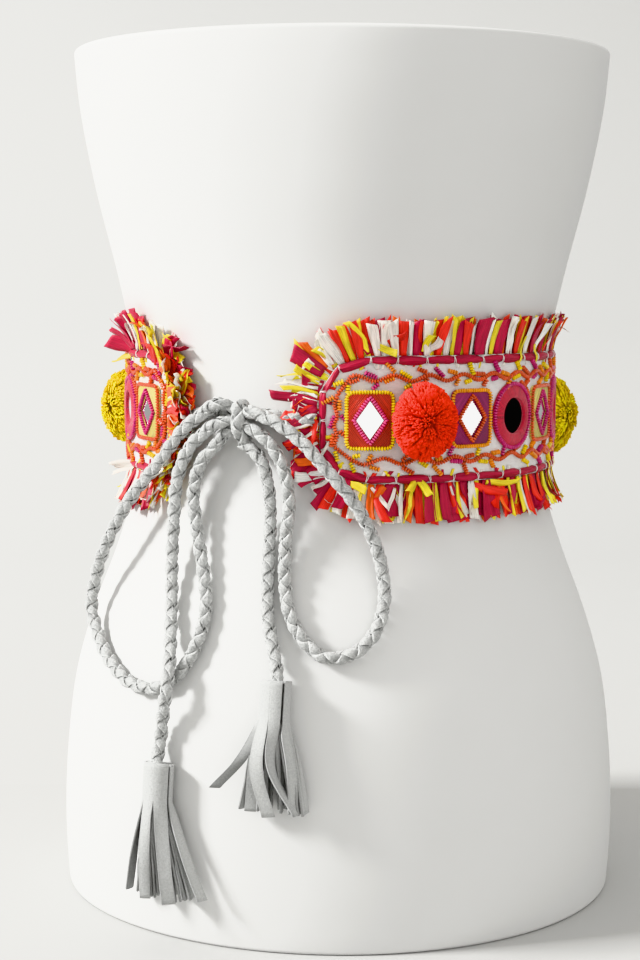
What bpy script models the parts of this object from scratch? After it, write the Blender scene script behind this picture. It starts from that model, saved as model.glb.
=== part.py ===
"""A raffia wrap belt tied in a bow round a white waist display form.

Metres, +Z up. The origin is the centre of the form's underside. The viewer stands on the -Y side, and an
azimuth is the angle round the form from there, positive towards +X. Tables and dimensions are in
millimetres and degrees, and are scaled where points are made.
"""

import math
import random

import bmesh
import bpy
import numpy as np
from mathutils import Matrix, Vector

MM = 0.001
GAP = 0.3

# The display form: an hourglass on ellipses
FORM_HEIGHT = 450.3
FORM_SECTIONS = (
    # height, half width, half depth
    (0.0, 150.5, 132.4),
    (30.0, 152.0, 134.9),
    (80.0, 150.0, 135.1),
    (120.0, 144.4, 131.5),
    (155.0, 133.9, 123.1),
    (185.0, 122.5, 113.5),
    (215.0, 113.2, 105.8),
    (250.0, 109.0, 102.0),
    (285.0, 111.2, 102.4),
    (330.0, 120.2, 107.7),
    (380.0, 132.5, 115.6),
    (425.0, 140.7, 119.9),
    (450.3, 143.0, 120.1),
)
FORM_SIDES = 44
FORM_RINGS = 26
FORM_RIM_ROUND = 2.2

# The canvas band: an upright elliptical wall, open at the front
BAND_HALF_WIDTH = 113.2
BAND_HALF_DEPTH = 104.4
BAND_WALL = 2.0
BAND_HEIGHT = 262.0
BAND_START = -5.0
BAND_SPAN = 318.5
BAND_COLUMN = 9.5
# Half the band's height, at distances in from either end
END_CORNERS = (
    # distance in, half height
    (0.0, 14.0),
    (8.5, 27.0),
    (24.0, 31.5),
)
TIE_HALF_SLOT = 6.0
FAN_REACH = 60.0

# The flat raffia binding that is laid along the edge
BINDING_INSET = 0.5
BINDING_WIDTH = 3.8
BINDING_THICKNESS = 1.2
BINDING_LIFT = 0.4

# The raffia fringe: a narrow strip just past the edge, and strands that lean out from it
STRIP_WIDTH = 1.5
STRIP_INNER = 0.3
STRIP_OUTER = 1.8
STRAND_GAP_SHARE = 0.28
STRAND_TIP_THICKNESS = 0.9
EDGE_STRANDS = (2, 4, 46, 4, 2)
END_STRANDS = (3, 1, 0, 1, 3)
EDGE_LENGTHS = (16.0, 19.0)
EDGE_LEANS = (6.5, 9.5)
END_LENGTHS = (15.0, 19.0)
END_LEANS = (2.0, 4.5)

# The motifs along the band, from its right end round the back to its left end
END_TO_FIRST_MOTIF = 24.5
SLOT_WIDTHS = {"square": 26.2, "ring": 31.6, "pompom": 27.7}
MOTIFS = (
    # kind, colour
    ("square", "red"),
    ("pompom", "red"),
    ("square", "plum"),
    ("ring", "red"),
    ("square", "yellow"),
    ("ring", "red"),
    ("square", "red"),
    ("pompom", "mustard"),
    ("square", "plum"),
    ("ring", "red"),
    ("square", "yellow"),
    ("ring", "red"),
    ("square", "red"),
    ("pompom", "red"),
    ("square", "plum"),
    ("ring", "red"),
    ("square", "red"),
    ("pompom", "mustard"),
    ("square", "plum"),
    ("ring", "red"),
    ("square", "yellow"),
)

# Applique patches: nested outlines, from the foot up over the raised bead rims to the mirror's seat
CORNER_SHARE = 0.95
SQUARE_LEVELS = (
    # outline, half width, half height, out from the band's inside
    ("square", 12.5, 15.0, 2.5),
    ("square", 12.2, 14.7, 4.3),
    ("square", 10.9, 13.4, 4.3),
    ("square", 10.6, 13.1, 3.3),
    ("diamond", 8.7, 12.0, 3.3),
    ("diamond", 8.2, 11.3, 4.3),
    ("diamond", 7.5, 10.3, 4.3),
    ("diamond", 7.2, 9.9, 2.9),
)
RING_LEVELS = (
    ("round", 15.25, 17.5, 2.5),
    ("round", 15.0, 17.2, 4.2),
    ("round", 13.4, 15.6, 4.2),
    ("round", 13.1, 15.3, 3.4),
    ("round", 10.2, 11.6, 4.4),
    ("round", 8.6, 9.6, 4.2),
    ("round", 8.3, 9.3, 2.9),
)
RING_SIDES = 16
MIRROR_BACK = 3.25
MIRROR_FRONT = 4.05
SQUARE_MIRROR = (6.8, 9.5)
ROUND_MIRROR = (7.95, 8.95)
ROUND_MIRROR_SIDES = 14

# Pompoms: a round core with tufts on it
POMPOM_SHIFT = -3.5
POMPOM_CORE = (13.0, 16.0, 12.3)
POMPOM_TUFT = 3.4
POMPOM_TUFT_INSET = 1.1
POMPOM_TUFT_TAPER = 0.7
POMPOM_TUFT_EVERY = 3
POMPOM_BACK_SHARE = -0.45

# The knot: a bundle lying across, with a turn of cord round its middle
KNOT_AZIMUTH = -27.0
KNOT_HEIGHT = 263.7
KNOT_LIFT = 8.4
KNOT_SECTIONS = (
    # across, half rise, half lift
    (-8.5, 5.4, 4.4),
    (-7.0, 8.0, 6.3),
    (-4.9, 8.2, 6.5),
    (-4.3, 10.5, 7.8),
    (4.3, 10.5, 7.8),
    (4.9, 8.2, 6.5),
    (7.0, 8.0, 6.3),
    (8.5, 5.4, 4.4),
)
KNOT_SIDES = 12

# The braided ties. Each route point is an azimuth, a height and a lift off the form, of the cord's middle
CORD_DIAMETER = 7.0
CORD_POINT_SPACING = 14.0
CORD_FEWEST_POINTS = 5
CORD_BEVEL_RESOLUTION = 2
CORD_ROUTES = {
    "tie_right": (
        (-6.5, 262.0, 5.0),
        (-11.0, 262.5, 4.6),
        (-16.0, 263.6, 4.5),
        (-21.6, 264.8, 4.7),
    ),
    "tie_left": (
        (-45.1, 262.0, 5.0),
        (-41.0, 262.5, 4.5),
        (-37.0, 263.6, 4.5),
        (-32.6, 264.8, 4.7),
    ),
    "loop_left": (
        (-32.8, 266.0, 12.6),
        (-38.4, 257.6, 14.6),
        (-46.5, 239.0, 16.0),
        (-55.7, 218.0, 18.0),
        (-61.8, 195.0, 18.0),
        (-66.1, 176.0, 14.0),
        (-66.9, 159.0, 9.5),
        (-62.5, 147.0, 6.0),
        (-53.3, 134.0, 4.4),
        (-44.3, 127.0, 4.4),
        (-37.4, 128.5, 4.4),
        (-32.7, 138.5, 4.4),
        (-30.1, 153.0, 4.4),
        (-29.6, 168.0, 4.6),
        (-31.5, 184.0, 6.0),
        (-34.9, 206.0, 9.0),
        (-36.6, 226.0, 11.5),
        (-34.4, 241.0, 12.0),
        (-30.2, 250.5, 10.5),
    ),
    "tail_left": (
        (-32.3, 257.0, 12.6),
        (-36.9, 247.8, 15.2),
        (-40.4, 233.0, 15.0),
        (-40.9, 210.0, 13.0),
        (-40.5, 190.0, 9.0),
        (-38.9, 171.0, 6.0),
        (-36.3, 154.0, 7.5),
        (-34.0, 142.0, 11.6),
        (-33.4, 129.5, 12.6),
        (-34.6, 115.0, 8.0),
        (-35.3, 103.0, 5.6),
        (-35.3, 94.2, 7.2),
    ),
    "loop_right": (
        (-21.2, 266.0, 12.6),
        (-15.6, 262.5, 15.0),
        (-8.8, 253.0, 17.5),
        (-3.2, 240.0, 18.5),
        (2.3, 226.0, 16.5),
        (6.8, 209.0, 12.0),
        (9.5, 190.0, 6.5),
        (9.6, 173.0, 4.4),
        (7.0, 159.0, 4.4),
        (2.2, 150.0, 4.4),
        (-2.7, 149.0, 4.4),
        (-7.3, 157.0, 4.4),
        (-10.3, 168.0, 4.4),
        (-12.0, 184.0, 5.0),
        (-12.2, 204.0, 8.0),
        (-11.7, 224.0, 11.0),
        (-13.4, 241.0, 13.2),
        (-17.6, 253.5, 13.2),
        (-21.3, 258.0, 12.6),
    ),
    "tail_right": (
        (-23.6, 250.2, 9.5),
        (-19.6, 244.5, 10.5),
        (-17.2, 230.0, 9.0),
        (-16.6, 213.0, 6.0),
        (-16.2, 189.0, 4.4),
        (-14.9, 165.0, 4.4),
        (-12.7, 149.0, 6.2),
        (-11.8, 140.5, 7.6),
    ),
}

# Suede tassels: a wrapped head, and flat strips that spread from it
TASSELS = {
    # azimuth, height of the head's top, drop of the strips, shift of their middle to the right
    "tassel_left": (-35.3, 92.8, 72.5, 4.0),
    "tassel_right": (-11.7, 138.2, 65.5, -0.5),
}
TASSEL_STRIPS = 14
TASSEL_LIFT = 7.9
TASSEL_HEAD_LEVELS = (
    # drop, radius
    (0.0, 4.4),
    (0.0, 6.4),
    (0.8, 7.2),
    (18.0, 7.2),
    (18.0, 4.8),
)
STRIP_INSET = 0.25
STRIP_STATIONS = (
    # share of the drop, spread across, spread off the form, lift of the middle
    (0.55, 1.7, 0.95, 7.4),
    (1.0, 3.0, 0.6, 5.2),
)
STRIP_CELL_WIDTH = 1.15
STRIP_CELL_DEPTH = 0.75
STRIP_DROP_SPREAD = 2.5

SEED = 11
SMOOTH_ANGLE = math.radians(40)


def clear_scene():
    for obj in list(bpy.data.objects):
        bpy.data.objects.remove(obj, do_unlink=True)


def material(name, colour, roughness, metallic=0.0):
    made = bpy.data.materials.get(name)
    if made:
        return made
    made = bpy.data.materials.new(name)
    made.use_nodes = True
    made.diffuse_color = (*colour, 1.0)
    shader = made.node_tree.nodes["Principled BSDF"]
    shader.inputs["Base Color"].default_value = (*colour, 1.0)
    shader.inputs["Roughness"].default_value = roughness
    shader.inputs["Metallic"].default_value = metallic
    return made


def form_white():
    return material("form_white", (0.86, 0.86, 0.85), 0.55)


def canvas():
    return material("canvas", (0.80, 0.78, 0.73), 0.85)


def raffia():
    return material("raffia", (0.42, 0.01, 0.06), 0.5)


def suede():
    return material("suede", (0.56, 0.59, 0.58), 0.9)


def satin(colour):
    colours = {
        "red": (0.50, 0.04, 0.02),
        "plum": (0.22, 0.02, 0.09),
        "yellow": (0.52, 0.40, 0.05),
    }
    return material("satin_" + colour, colours[colour], 0.45)


def yarn(colour):
    colours = {"red": (0.80, 0.03, 0.01), "mustard": (0.62, 0.38, 0.01)}
    return material("yarn_" + colour, colours[colour], 0.9)


def mirror_glass():
    return material("mirror_glass", (0.9, 0.9, 0.9), 0.03, 1.0)


def add_object(name, mesh_builder, finish):
    """An object from a bmesh, with its faces turned out and its round sides shaded smooth."""
    mesh_builder.normal_update()
    bmesh.ops.recalc_face_normals(mesh_builder, faces=mesh_builder.faces)
    mesh = bpy.data.meshes.new(name)
    mesh_builder.to_mesh(mesh)
    mesh_builder.free()
    mesh.shade_smooth()
    mesh.set_sharp_from_angle(angle=SMOOTH_ANGLE)
    mesh.materials.append(finish)
    obj = bpy.data.objects.new(name, mesh)
    bpy.context.collection.objects.link(obj)
    return obj


def smooth_table(stations, values, at):
    """Values on a cubic curve through a table's rows, at one place or many."""
    stations = np.asarray(stations, float)
    values = np.asarray(values, float)
    at = np.asarray(at, float)
    slopes = np.gradient(values, stations, axis=0)
    low = np.clip(np.searchsorted(stations, at) - 1, 0, len(stations) - 2)
    step = stations[low + 1] - stations[low]
    share = (at - stations[low]) / step
    if values.ndim > 1:
        step, share = step[..., None], share[..., None]
    return (
        (2 * share**3 - 3 * share**2 + 1) * values[low]
        + (share**3 - 2 * share**2 + share) * step * slopes[low]
        + (3 * share**2 - 2 * share**3) * values[low + 1]
        + (share**3 - share**2) * step * slopes[low + 1]
    )


def off_ellipse(half_width, half_depth, azimuth, out):
    """The point at an azimuth on an ellipse, moved out along its normal."""
    turn = math.radians(azimuth)
    normal = Vector((math.sin(turn) / half_width, -math.cos(turn) / half_depth)).normalized()
    x = half_width * math.sin(turn) + out * normal.x
    y = -half_depth * math.cos(turn) + out * normal.y
    return x, y


def form_section(height):
    rows = np.array(FORM_SECTIONS)
    half_width, half_depth = smooth_table(rows[:, 0], rows[:, 1:], height)
    return float(half_width), float(half_depth)


def form_point(azimuth, height, lift):
    half_width, half_depth = form_section(height)
    x, y = off_ellipse(half_width, half_depth, azimuth, lift)
    return Vector((x, y, height)) * MM


def beside_form_point(azimuth, height, across, lift):
    """The point beside a place on the form, at a distance across along its surface."""
    half_width, half_depth = form_section(height)
    turn = math.radians(azimuth)
    radius = math.hypot(half_width * math.cos(turn), half_depth * math.sin(turn))
    return form_point(azimuth + math.degrees(across / radius), height, lift)


def band_lengths():
    """Azimuths round the band, and the distance along its wall at each."""
    azimuths = np.linspace(BAND_START, BAND_START + BAND_SPAN, 721)
    middle = BAND_WALL / 2
    turns = np.radians(azimuths)
    points = np.stack(
        [(BAND_HALF_WIDTH + middle) * np.sin(turns), (BAND_HALF_DEPTH + middle) * np.cos(turns)], 1
    )
    steps = np.linalg.norm(np.diff(points, axis=0), axis=1)
    return azimuths, np.concatenate([[0.0], np.cumsum(steps)])


AZIMUTHS, LENGTHS = band_lengths()
BAND_LENGTH = float(LENGTHS[-1])
START_STEP = (AZIMUTHS[1] - AZIMUTHS[0]) / (LENGTHS[1] - LENGTHS[0])
END_STEP = (AZIMUTHS[-1] - AZIMUTHS[-2]) / (LENGTHS[-1] - LENGTHS[-2])


def band_azimuth(along):
    if along < 0:
        return AZIMUTHS[0] + along * START_STEP
    if along > BAND_LENGTH:
        return AZIMUTHS[-1] + (along - BAND_LENGTH) * END_STEP
    return float(np.interp(along, LENGTHS, AZIMUTHS))


def belt_point(along, rise, out):
    """A point by its distance along the band, its rise from the middle, and its distance off the inside."""
    x, y = off_ellipse(BAND_HALF_WIDTH, BAND_HALF_DEPTH, band_azimuth(along), out)
    return Vector((x, y, BAND_HEIGHT + rise)) * MM


def skin(builder, rings, caps=True):
    """Walls between rings of points, and flat caps on the first and last ring."""
    made = [[builder.verts.new(point) for point in ring] for ring in rings]
    for lower, upper in zip(made, made[1:]):
        for i in range(len(lower)):
            j = (i + 1) % len(lower)
            builder.faces.new((lower[i], lower[j], upper[j], upper[i]))
    if caps:
        builder.faces.new(list(reversed(made[0])))
        builder.faces.new(made[-1])
    return made


def upright_cap(builder, ring):
    """Closes a ring of an even number of points with upright strips, which follow the band's curve."""
    count = len(ring)
    for i in range(count // 2):
        corners = (ring[i], ring[i + 1], ring[count - i - 1], ring[(count - i) % count])
        builder.faces.new(list(dict.fromkeys(corners)))


def make_form():
    rim = [(FORM_RIM_ROUND * (1 - math.cos(a)), FORM_RIM_ROUND * (1 - math.sin(a)))
           for a in (0.0, math.pi / 4)]
    middle = np.linspace(FORM_RIM_ROUND, FORM_HEIGHT - FORM_RIM_ROUND, FORM_RINGS)
    levels = rim + [(height, 0.0) for height in middle]
    levels += [(FORM_HEIGHT - height, inset) for height, inset in reversed(rim)]
    rings = []
    for height, inset in levels:
        turns = [360.0 * i / FORM_SIDES for i in range(FORM_SIDES)]
        rings.append([form_point(turn, height, -inset) for turn in turns])
    builder = bmesh.new()
    skin(builder, rings)
    return add_object("waist_form", builder, form_white())


def half_rise(along):
    inward = min(along, BAND_LENGTH - along)
    return float(np.interp(inward, *zip(*END_CORNERS)))


def band_columns():
    corners = [inward for inward, _ in END_CORNERS]
    inner = BAND_LENGTH - 2 * corners[-1]
    count = round(inner / BAND_COLUMN)
    even = [corners[-1] + inner * i / count for i in range(1, count)]
    return corners + even + [BAND_LENGTH - inward for inward in reversed(corners)]


def make_band():
    rings = []
    for along in band_columns():
        rise = half_rise(along)
        section = ((-rise, 0.0), (rise, 0.0), (rise, BAND_WALL), (-rise, BAND_WALL))
        rings.append([belt_point(along, up, out) for up, out in section])
    builder = bmesh.new()
    skin(builder, rings)
    return add_object("belt_band", builder, canvas())


def edge_corners():
    """The band's outline as corners and outward normals, clockwise from the right end's lowest corner."""
    (_, tip), (shoulder, high), (top, full) = END_CORNERS
    right = [(shoulder, -high), (0, -tip), (0, -TIE_HALF_SLOT), (0, TIE_HALF_SLOT), (0, tip), (shoulder, high)]
    upper = [(top, full), (FAN_REACH, full), (BAND_LENGTH - FAN_REACH, full), (BAND_LENGTH - top, full)]
    left = [(BAND_LENGTH - along, -rise) for along, rise in right]
    lower = [(BAND_LENGTH - along, -rise) for along, rise in upper]
    corners = [Vector(corner) for corner in right + upper + left + lower]
    normals = []
    for i, corner in enumerate(corners):
        before = (corner - corners[i - 1]).normalized()
        after = (corners[(i + 1) % len(corners)] - corner).normalized()
        tangent = (before + after).normalized()
        normals.append(Vector((-tangent.y, tangent.x)))
    return corners, normals


def edge_stations(first, last, fill):
    """Places along the outline between two corners: point, normal, and whether a strand follows it."""
    corners, normals = edge_corners()
    count = len(corners)
    stations = []
    for i in range(first, last):
        a, b = i % count, (i + 1) % count
        for start, end, strand in fill(i - first, (corners[b] - corners[a]).length):
            share = start
            stations.append((corners[a].lerp(corners[b], share), normals[a].lerp(normals[b], share), strand))
        ending = (corners[b], normals[b], False)
    stations.append(ending)
    pull = GAP / 2
    for end, inner in ((0, 1), (-1, -2)):
        point, normal, strand = stations[end]
        towards = (stations[inner][0] - point).normalized()
        stations[end] = (point + towards * pull, normal, strand)
    return stations


def binding_cells(_, length):
    count = max(1, round(length / BAND_COLUMN))
    return [(i / count, (i + 1) / count, False) for i in range(count)]


def strand_cells(counts):
    def cells(segment, length):
        strands = counts[segment]
        if not strands:
            return [(0.0, 1.0, False)]
        pitch = 1.0 / strands
        half_gap = pitch * STRAND_GAP_SHARE / 2
        found = [(0.0, half_gap, False)]
        for i in range(strands):
            start = i * pitch + half_gap
            found.append((start, start + pitch - 2 * half_gap, True))
            if i < strands - 1:
                found.append((start + pitch - 2 * half_gap, start + pitch, False))
        found.append((1.0 - half_gap, 1.0, False))
        return found

    return cells


def edge_ring(station, past, width, inner, outer):
    """A strip's section at a place on the outline, from a distance past it and on outwards."""
    point, normal, _ = station
    near = point + normal.normalized() * past
    far = point + normal.normalized() * (past + width)
    return [
        belt_point(near.x, near.y, inner),
        belt_point(near.x, near.y, outer),
        belt_point(far.x, far.y, outer),
        belt_point(far.x, far.y, inner),
    ]


def make_binding(name, first, last):
    foot = BAND_WALL + BINDING_LIFT
    builder = bmesh.new()
    rings = []
    for station in edge_stations(first, last, binding_cells):
        past = -BINDING_INSET - BINDING_WIDTH
        rings.append(edge_ring(station, past, BINDING_WIDTH, foot, foot + BINDING_THICKNESS))
    skin(builder, rings)
    return add_object(name, builder, raffia())


def strand_tip(here, there, length, lean, widen, chance):
    """The four corners of a strand's tip, in the order of its root's corners."""
    middle = here[0].lerp(there[0], 0.5)
    normal = here[1].lerp(there[1], 0.5).normalized()
    side = Vector((normal.y, -normal.x))
    direction = (normal + side * chance.uniform(-0.12, 0.12)).normalized()
    centre = middle + direction * (GAP + STRIP_WIDTH + length)
    half = (there[0] - here[0]).length / 2 * widen
    inner = lean - STRAND_TIP_THICKNESS
    low, high = centre - side * half, centre + side * half
    return [
        belt_point(low.x, low.y, inner),
        belt_point(low.x, low.y, lean),
        belt_point(high.x, high.y, lean),
        belt_point(high.x, high.y, inner),
    ]


def make_fringe(name, first, last, counts, lengths, leans):
    chance = random.Random(SEED + first)
    stations = edge_stations(first, last, strand_cells(counts))
    builder = bmesh.new()
    rings = [edge_ring(station, GAP, STRIP_WIDTH, STRIP_INNER, STRIP_OUTER) for station in stations]
    made = [[builder.verts.new(point) for point in ring] for ring in rings]
    for k, (near, far) in enumerate(zip(made, made[1:])):
        for i in range(4):
            j = (i + 1) % 4
            if i == 2 and stations[k][2]:
                continue
            builder.faces.new((near[i], near[j], far[j], far[i]))
        if stations[k][2]:
            length, lean = chance.uniform(*lengths), chance.uniform(*leans)
            points = strand_tip(stations[k], stations[k + 1], length, lean, chance.uniform(0.85, 1.12), chance)
            root = (near[3], near[2], far[2], far[3])
            tip = [builder.verts.new(point) for point in points]
            for i in range(4):
                j = (i + 1) % 4
                builder.faces.new((root[i], root[j], tip[j], tip[i]))
            builder.faces.new(tip)
    builder.faces.new(made[0])
    builder.faces.new(made[-1])
    return add_object(name, builder, raffia())


def outline(kind, half_width, half_height):
    """A closed outline round a patch, from its right middle point, anticlockwise."""
    if kind == "round":
        turns = [math.tau * i / RING_SIDES for i in range(RING_SIDES)]
        return [(half_width * math.cos(turn), half_height * math.sin(turn)) for turn in turns]
    share = CORNER_SHARE if kind == "square" else 0.5
    signs = ((1, 0), (1, 1), (0, 1), (-1, 1), (-1, 0), (-1, -1), (0, -1), (1, -1))
    points = []
    for x, z in signs:
        scale = share if x and z else 1.0
        points.append((x * half_width * scale, z * half_height * scale))
    return points


def make_patch(name, along, levels, finish):
    rings = []
    for kind, half_width, half_height, out in levels:
        shape = outline(kind, half_width, half_height)
        rings.append([belt_point(along + x, z, out) for x, z in shape])
    builder = bmesh.new()
    made = skin(builder, rings, caps=False)
    upright_cap(builder, made[0])
    upright_cap(builder, made[-1])
    return add_object(name, builder, finish)


def make_mirror(name, along, half_sizes, sides):
    """A flat plate of glass that lies in its patch's seat."""
    turn = math.radians(band_azimuth(along))
    right = Vector((BAND_HALF_WIDTH * math.cos(turn), BAND_HALF_DEPTH * math.sin(turn), 0)).normalized()
    turns = [math.tau * i / sides for i in range(sides)]
    rings = []
    for out in (MIRROR_BACK, MIRROR_FRONT):
        centre = belt_point(along, 0.0, out)
        ring = []
        for angle in turns:
            x, z = half_sizes[0] * math.cos(angle), half_sizes[1] * math.sin(angle)
            ring.append(centre + (right * x + Vector((0, 0, z))) * MM)
        rings.append(ring)
    builder = bmesh.new()
    skin(builder, rings)
    return add_object(name, builder, mirror_glass())


def make_pompom(name, along, colour):
    half_along, half_rise_, half_out = POMPOM_CORE
    builder = bmesh.new()
    bmesh.ops.create_icosphere(builder, subdivisions=2, radius=1.0)
    bmesh.ops.scale(builder, vec=(half_along, half_out, half_rise_), verts=builder.verts)
    front = [face for face in builder.faces if face.calc_center_median().y > POMPOM_BACK_SHARE * half_out]
    tufted = front[::POMPOM_TUFT_EVERY]
    bmesh.ops.inset_individual(builder, faces=tufted, thickness=POMPOM_TUFT_INSET)
    raised = bmesh.ops.extrude_discrete_faces(builder, faces=tufted)["faces"]
    for face in raised:
        centre = face.calc_center_median()
        step = centre.normalized() * POMPOM_TUFT
        bmesh.ops.translate(builder, vec=step, verts=face.verts)
        bmesh.ops.scale(
            builder,
            vec=(POMPOM_TUFT_TAPER,) * 3,
            verts=face.verts,
            space=Matrix.Translation(-(centre + step)),
        )
    centre_out = BAND_WALL + GAP + half_out
    for vert in builder.verts:
        vert.co = belt_point(along + POMPOM_SHIFT + vert.co.x, vert.co.z, centre_out + vert.co.y)
    return add_object(name, builder, yarn(colour))


def motif_places():
    """The distance along the band of each motif's middle, spread evenly to the last one's place."""
    widths = [SLOT_WIDTHS[kind] for kind, _ in MOTIFS]
    steps = [0.0] + [(a + b) / 2 for a, b in zip(widths, widths[1:])]
    places = np.cumsum(steps)
    span = BAND_LENGTH - 2 * END_TO_FIRST_MOTIF
    return [float(place) for place in END_TO_FIRST_MOTIF + places * span / places[-1]]


def make_motifs():
    for number, ((kind, colour), along) in enumerate(zip(MOTIFS, motif_places()), start=1):
        label = f"{number:02d}"
        if kind == "pompom":
            make_pompom("pompom_" + label, along, colour)
        elif kind == "square":
            make_patch("patch_square_" + label, along, SQUARE_LEVELS, satin(colour))
            make_mirror("mirror_square_" + label, along, SQUARE_MIRROR, 4)
        else:
            make_patch("patch_ring_" + label, along, RING_LEVELS, satin(colour))
            make_mirror("mirror_round_" + label, along, ROUND_MIRROR, ROUND_MIRROR_SIDES)


def make_knot():
    rings = []
    for across, half_rise_, half_lift in KNOT_SECTIONS:
        ring = []
        for i in range(KNOT_SIDES):
            turn = math.tau * i / KNOT_SIDES
            height = KNOT_HEIGHT + half_rise_ * math.sin(turn)
            lift = KNOT_LIFT + half_lift * math.cos(turn)
            ring.append(beside_form_point(KNOT_AZIMUTH, height, across, lift))
        rings.append(ring)
    builder = bmesh.new()
    skin(builder, rings)
    return add_object("knot", builder, suede())


def cord_points(route):
    """Points at even distances on a smooth curve through a route."""
    places = np.array([form_point(*stop) for stop in route])
    chords = np.linalg.norm(np.diff(places, axis=0), axis=1)
    stations = np.concatenate([[0.0], np.cumsum(chords)])
    fine = np.linspace(0.0, stations[-1], 40 * len(route))
    curve = smooth_table(stations, places, fine)
    lengths = np.concatenate([[0.0], np.cumsum(np.linalg.norm(np.diff(curve, axis=0), axis=1))])
    count = max(CORD_FEWEST_POINTS, round(lengths[-1] / (CORD_POINT_SPACING * MM)) + 1)
    at = np.interp(np.linspace(0.0, lengths[-1], count), lengths, fine)
    return smooth_table(stations, places, at)


def make_cord(name, route):
    points = cord_points(route)
    curve = bpy.data.curves.new(name, "CURVE")
    curve.dimensions = "3D"
    curve.bevel_depth = CORD_DIAMETER / 2 * MM
    curve.bevel_resolution = CORD_BEVEL_RESOLUTION
    curve.use_fill_caps = True
    spline = curve.splines.new("POLY")
    spline.points.add(len(points) - 1)
    for target, point in zip(spline.points, points):
        target.co = (*point, 1.0)
    curve.materials.append(suede())
    obj = bpy.data.objects.new(name, curve)
    bpy.context.collection.objects.link(obj)
    return obj


def make_tassel(name, azimuth, top, drop, shift):
    chance = random.Random(SEED)
    turns = [math.tau * (i + 0.5) / TASSEL_STRIPS for i in range(TASSEL_STRIPS)]
    builder = bmesh.new()
    # The tassel is shaped straight, as across, down and off the form, and laid on the form at the end
    rings = []
    for down, radius in TASSEL_HEAD_LEVELS:
        rings.append([
            Vector((radius * math.cos(turn), down, TASSEL_LIFT + radius * math.sin(turn))) for turn in turns
        ])
    made = skin(builder, rings)
    neck = TASSEL_HEAD_LEVELS[-1][0]
    outer, inner = made[-2], made[-1]
    rim = set(outer) | set(inner)
    cells = [face for face in builder.faces if len(face.verts) == 4 and set(face.verts) <= rim]
    bmesh.ops.inset_individual(builder, faces=cells, thickness=STRIP_INSET)
    middle = Vector((0.0, neck, TASSEL_LIFT))
    starts = [[vert.co.copy() for vert in face.verts] for face in cells]
    ends = [drop + chance.uniform(-STRIP_DROP_SPREAD, STRIP_DROP_SPREAD) for _ in cells]
    for share, across, off, lift in STRIP_STATIONS:
        cells = extrude_each(builder, cells)
        for face, start, end in zip(cells, starts, ends):
            centre = sum(start, Vector()) / len(start) - middle
            down = neck + (end - neck) * share
            target = Vector((centre.x * across + shift * share, down, lift + centre.z * off))
            for vert, corner in zip(face.verts, start):
                offset = corner - middle - centre
                vert.co = target + Vector((offset.x * STRIP_CELL_WIDTH, 0.0, offset.z * STRIP_CELL_DEPTH))
    for vert in builder.verts:
        across, down, lift = vert.co
        vert.co = beside_form_point(azimuth, top - down, across, lift)
    return add_object(name, builder, suede())


def extrude_each(builder, faces):
    """Extrudes faces one by one, so that the new faces keep the order and the corners of the old."""
    found = []
    for face in faces:
        found += bmesh.ops.extrude_discrete_faces(builder, faces=[face])["faces"]
    return found


def main():
    clear_scene()
    make_form()
    make_band()
    sides = (
        # name, first corner, last corner, strands, lengths, leans
        ("end_right", 0, 5, END_STRANDS, END_LENGTHS, END_LEANS),
        ("top", 5, 10, EDGE_STRANDS, EDGE_LENGTHS, EDGE_LEANS),
        ("end_left", 10, 15, END_STRANDS, END_LENGTHS, END_LEANS),
        ("bottom", 15, 20, EDGE_STRANDS, EDGE_LENGTHS, EDGE_LEANS),
    )
    for side, first, last, counts, lengths, leans in sides:
        make_binding("binding_" + side, first, last)
        make_fringe("fringe_" + side, first, last, counts, lengths, leans)
    make_motifs()
    make_knot()
    for name, route in CORD_ROUTES.items():
        make_cord(name, route)
    for name, placing in TASSELS.items():
        make_tassel(name, *placing)


if __name__ == "__main__":
    main()
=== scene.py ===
"""The looks of a raffia wrap belt that is tied in a bow round a white waist display form.

Sizes are in millimetres and angles in degrees, until a point is laid on the form or on the band: that gives
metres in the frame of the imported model. Straight shapes are made with bmesh operators, and copies of them
are laid where they belong by functions on arrays.
"""

import math

import bmesh
import bpy
import numpy as np
from bpy.props import FloatProperty, FloatVectorProperty, IntProperty, PointerProperty
from bpy.types import Operator, Panel, PropertyGroup
from mathutils import Matrix, Vector


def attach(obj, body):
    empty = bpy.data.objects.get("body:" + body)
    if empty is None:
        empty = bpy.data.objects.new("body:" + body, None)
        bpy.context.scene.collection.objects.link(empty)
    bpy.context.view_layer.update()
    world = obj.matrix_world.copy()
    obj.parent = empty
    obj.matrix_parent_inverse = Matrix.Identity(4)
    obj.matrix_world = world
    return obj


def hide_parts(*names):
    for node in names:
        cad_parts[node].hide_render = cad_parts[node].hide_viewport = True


bl_info = {
    "name": "Raffia wrap belt",
    "version": (1, 0, 0),
    "blender": (4, 5, 0),
    "location": "View3D > Sidebar > Belt",
    "description": "Builds a beaded raffia wrap belt on a waist display form",
    "category": "Object",
}

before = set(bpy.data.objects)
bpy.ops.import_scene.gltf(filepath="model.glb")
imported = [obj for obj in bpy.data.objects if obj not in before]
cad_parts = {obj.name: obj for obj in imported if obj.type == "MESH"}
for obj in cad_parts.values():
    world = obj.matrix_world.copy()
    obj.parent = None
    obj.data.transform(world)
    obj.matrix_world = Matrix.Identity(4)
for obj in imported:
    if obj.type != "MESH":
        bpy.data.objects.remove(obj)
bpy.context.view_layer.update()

MM = 0.001
BODY = "root"

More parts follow.
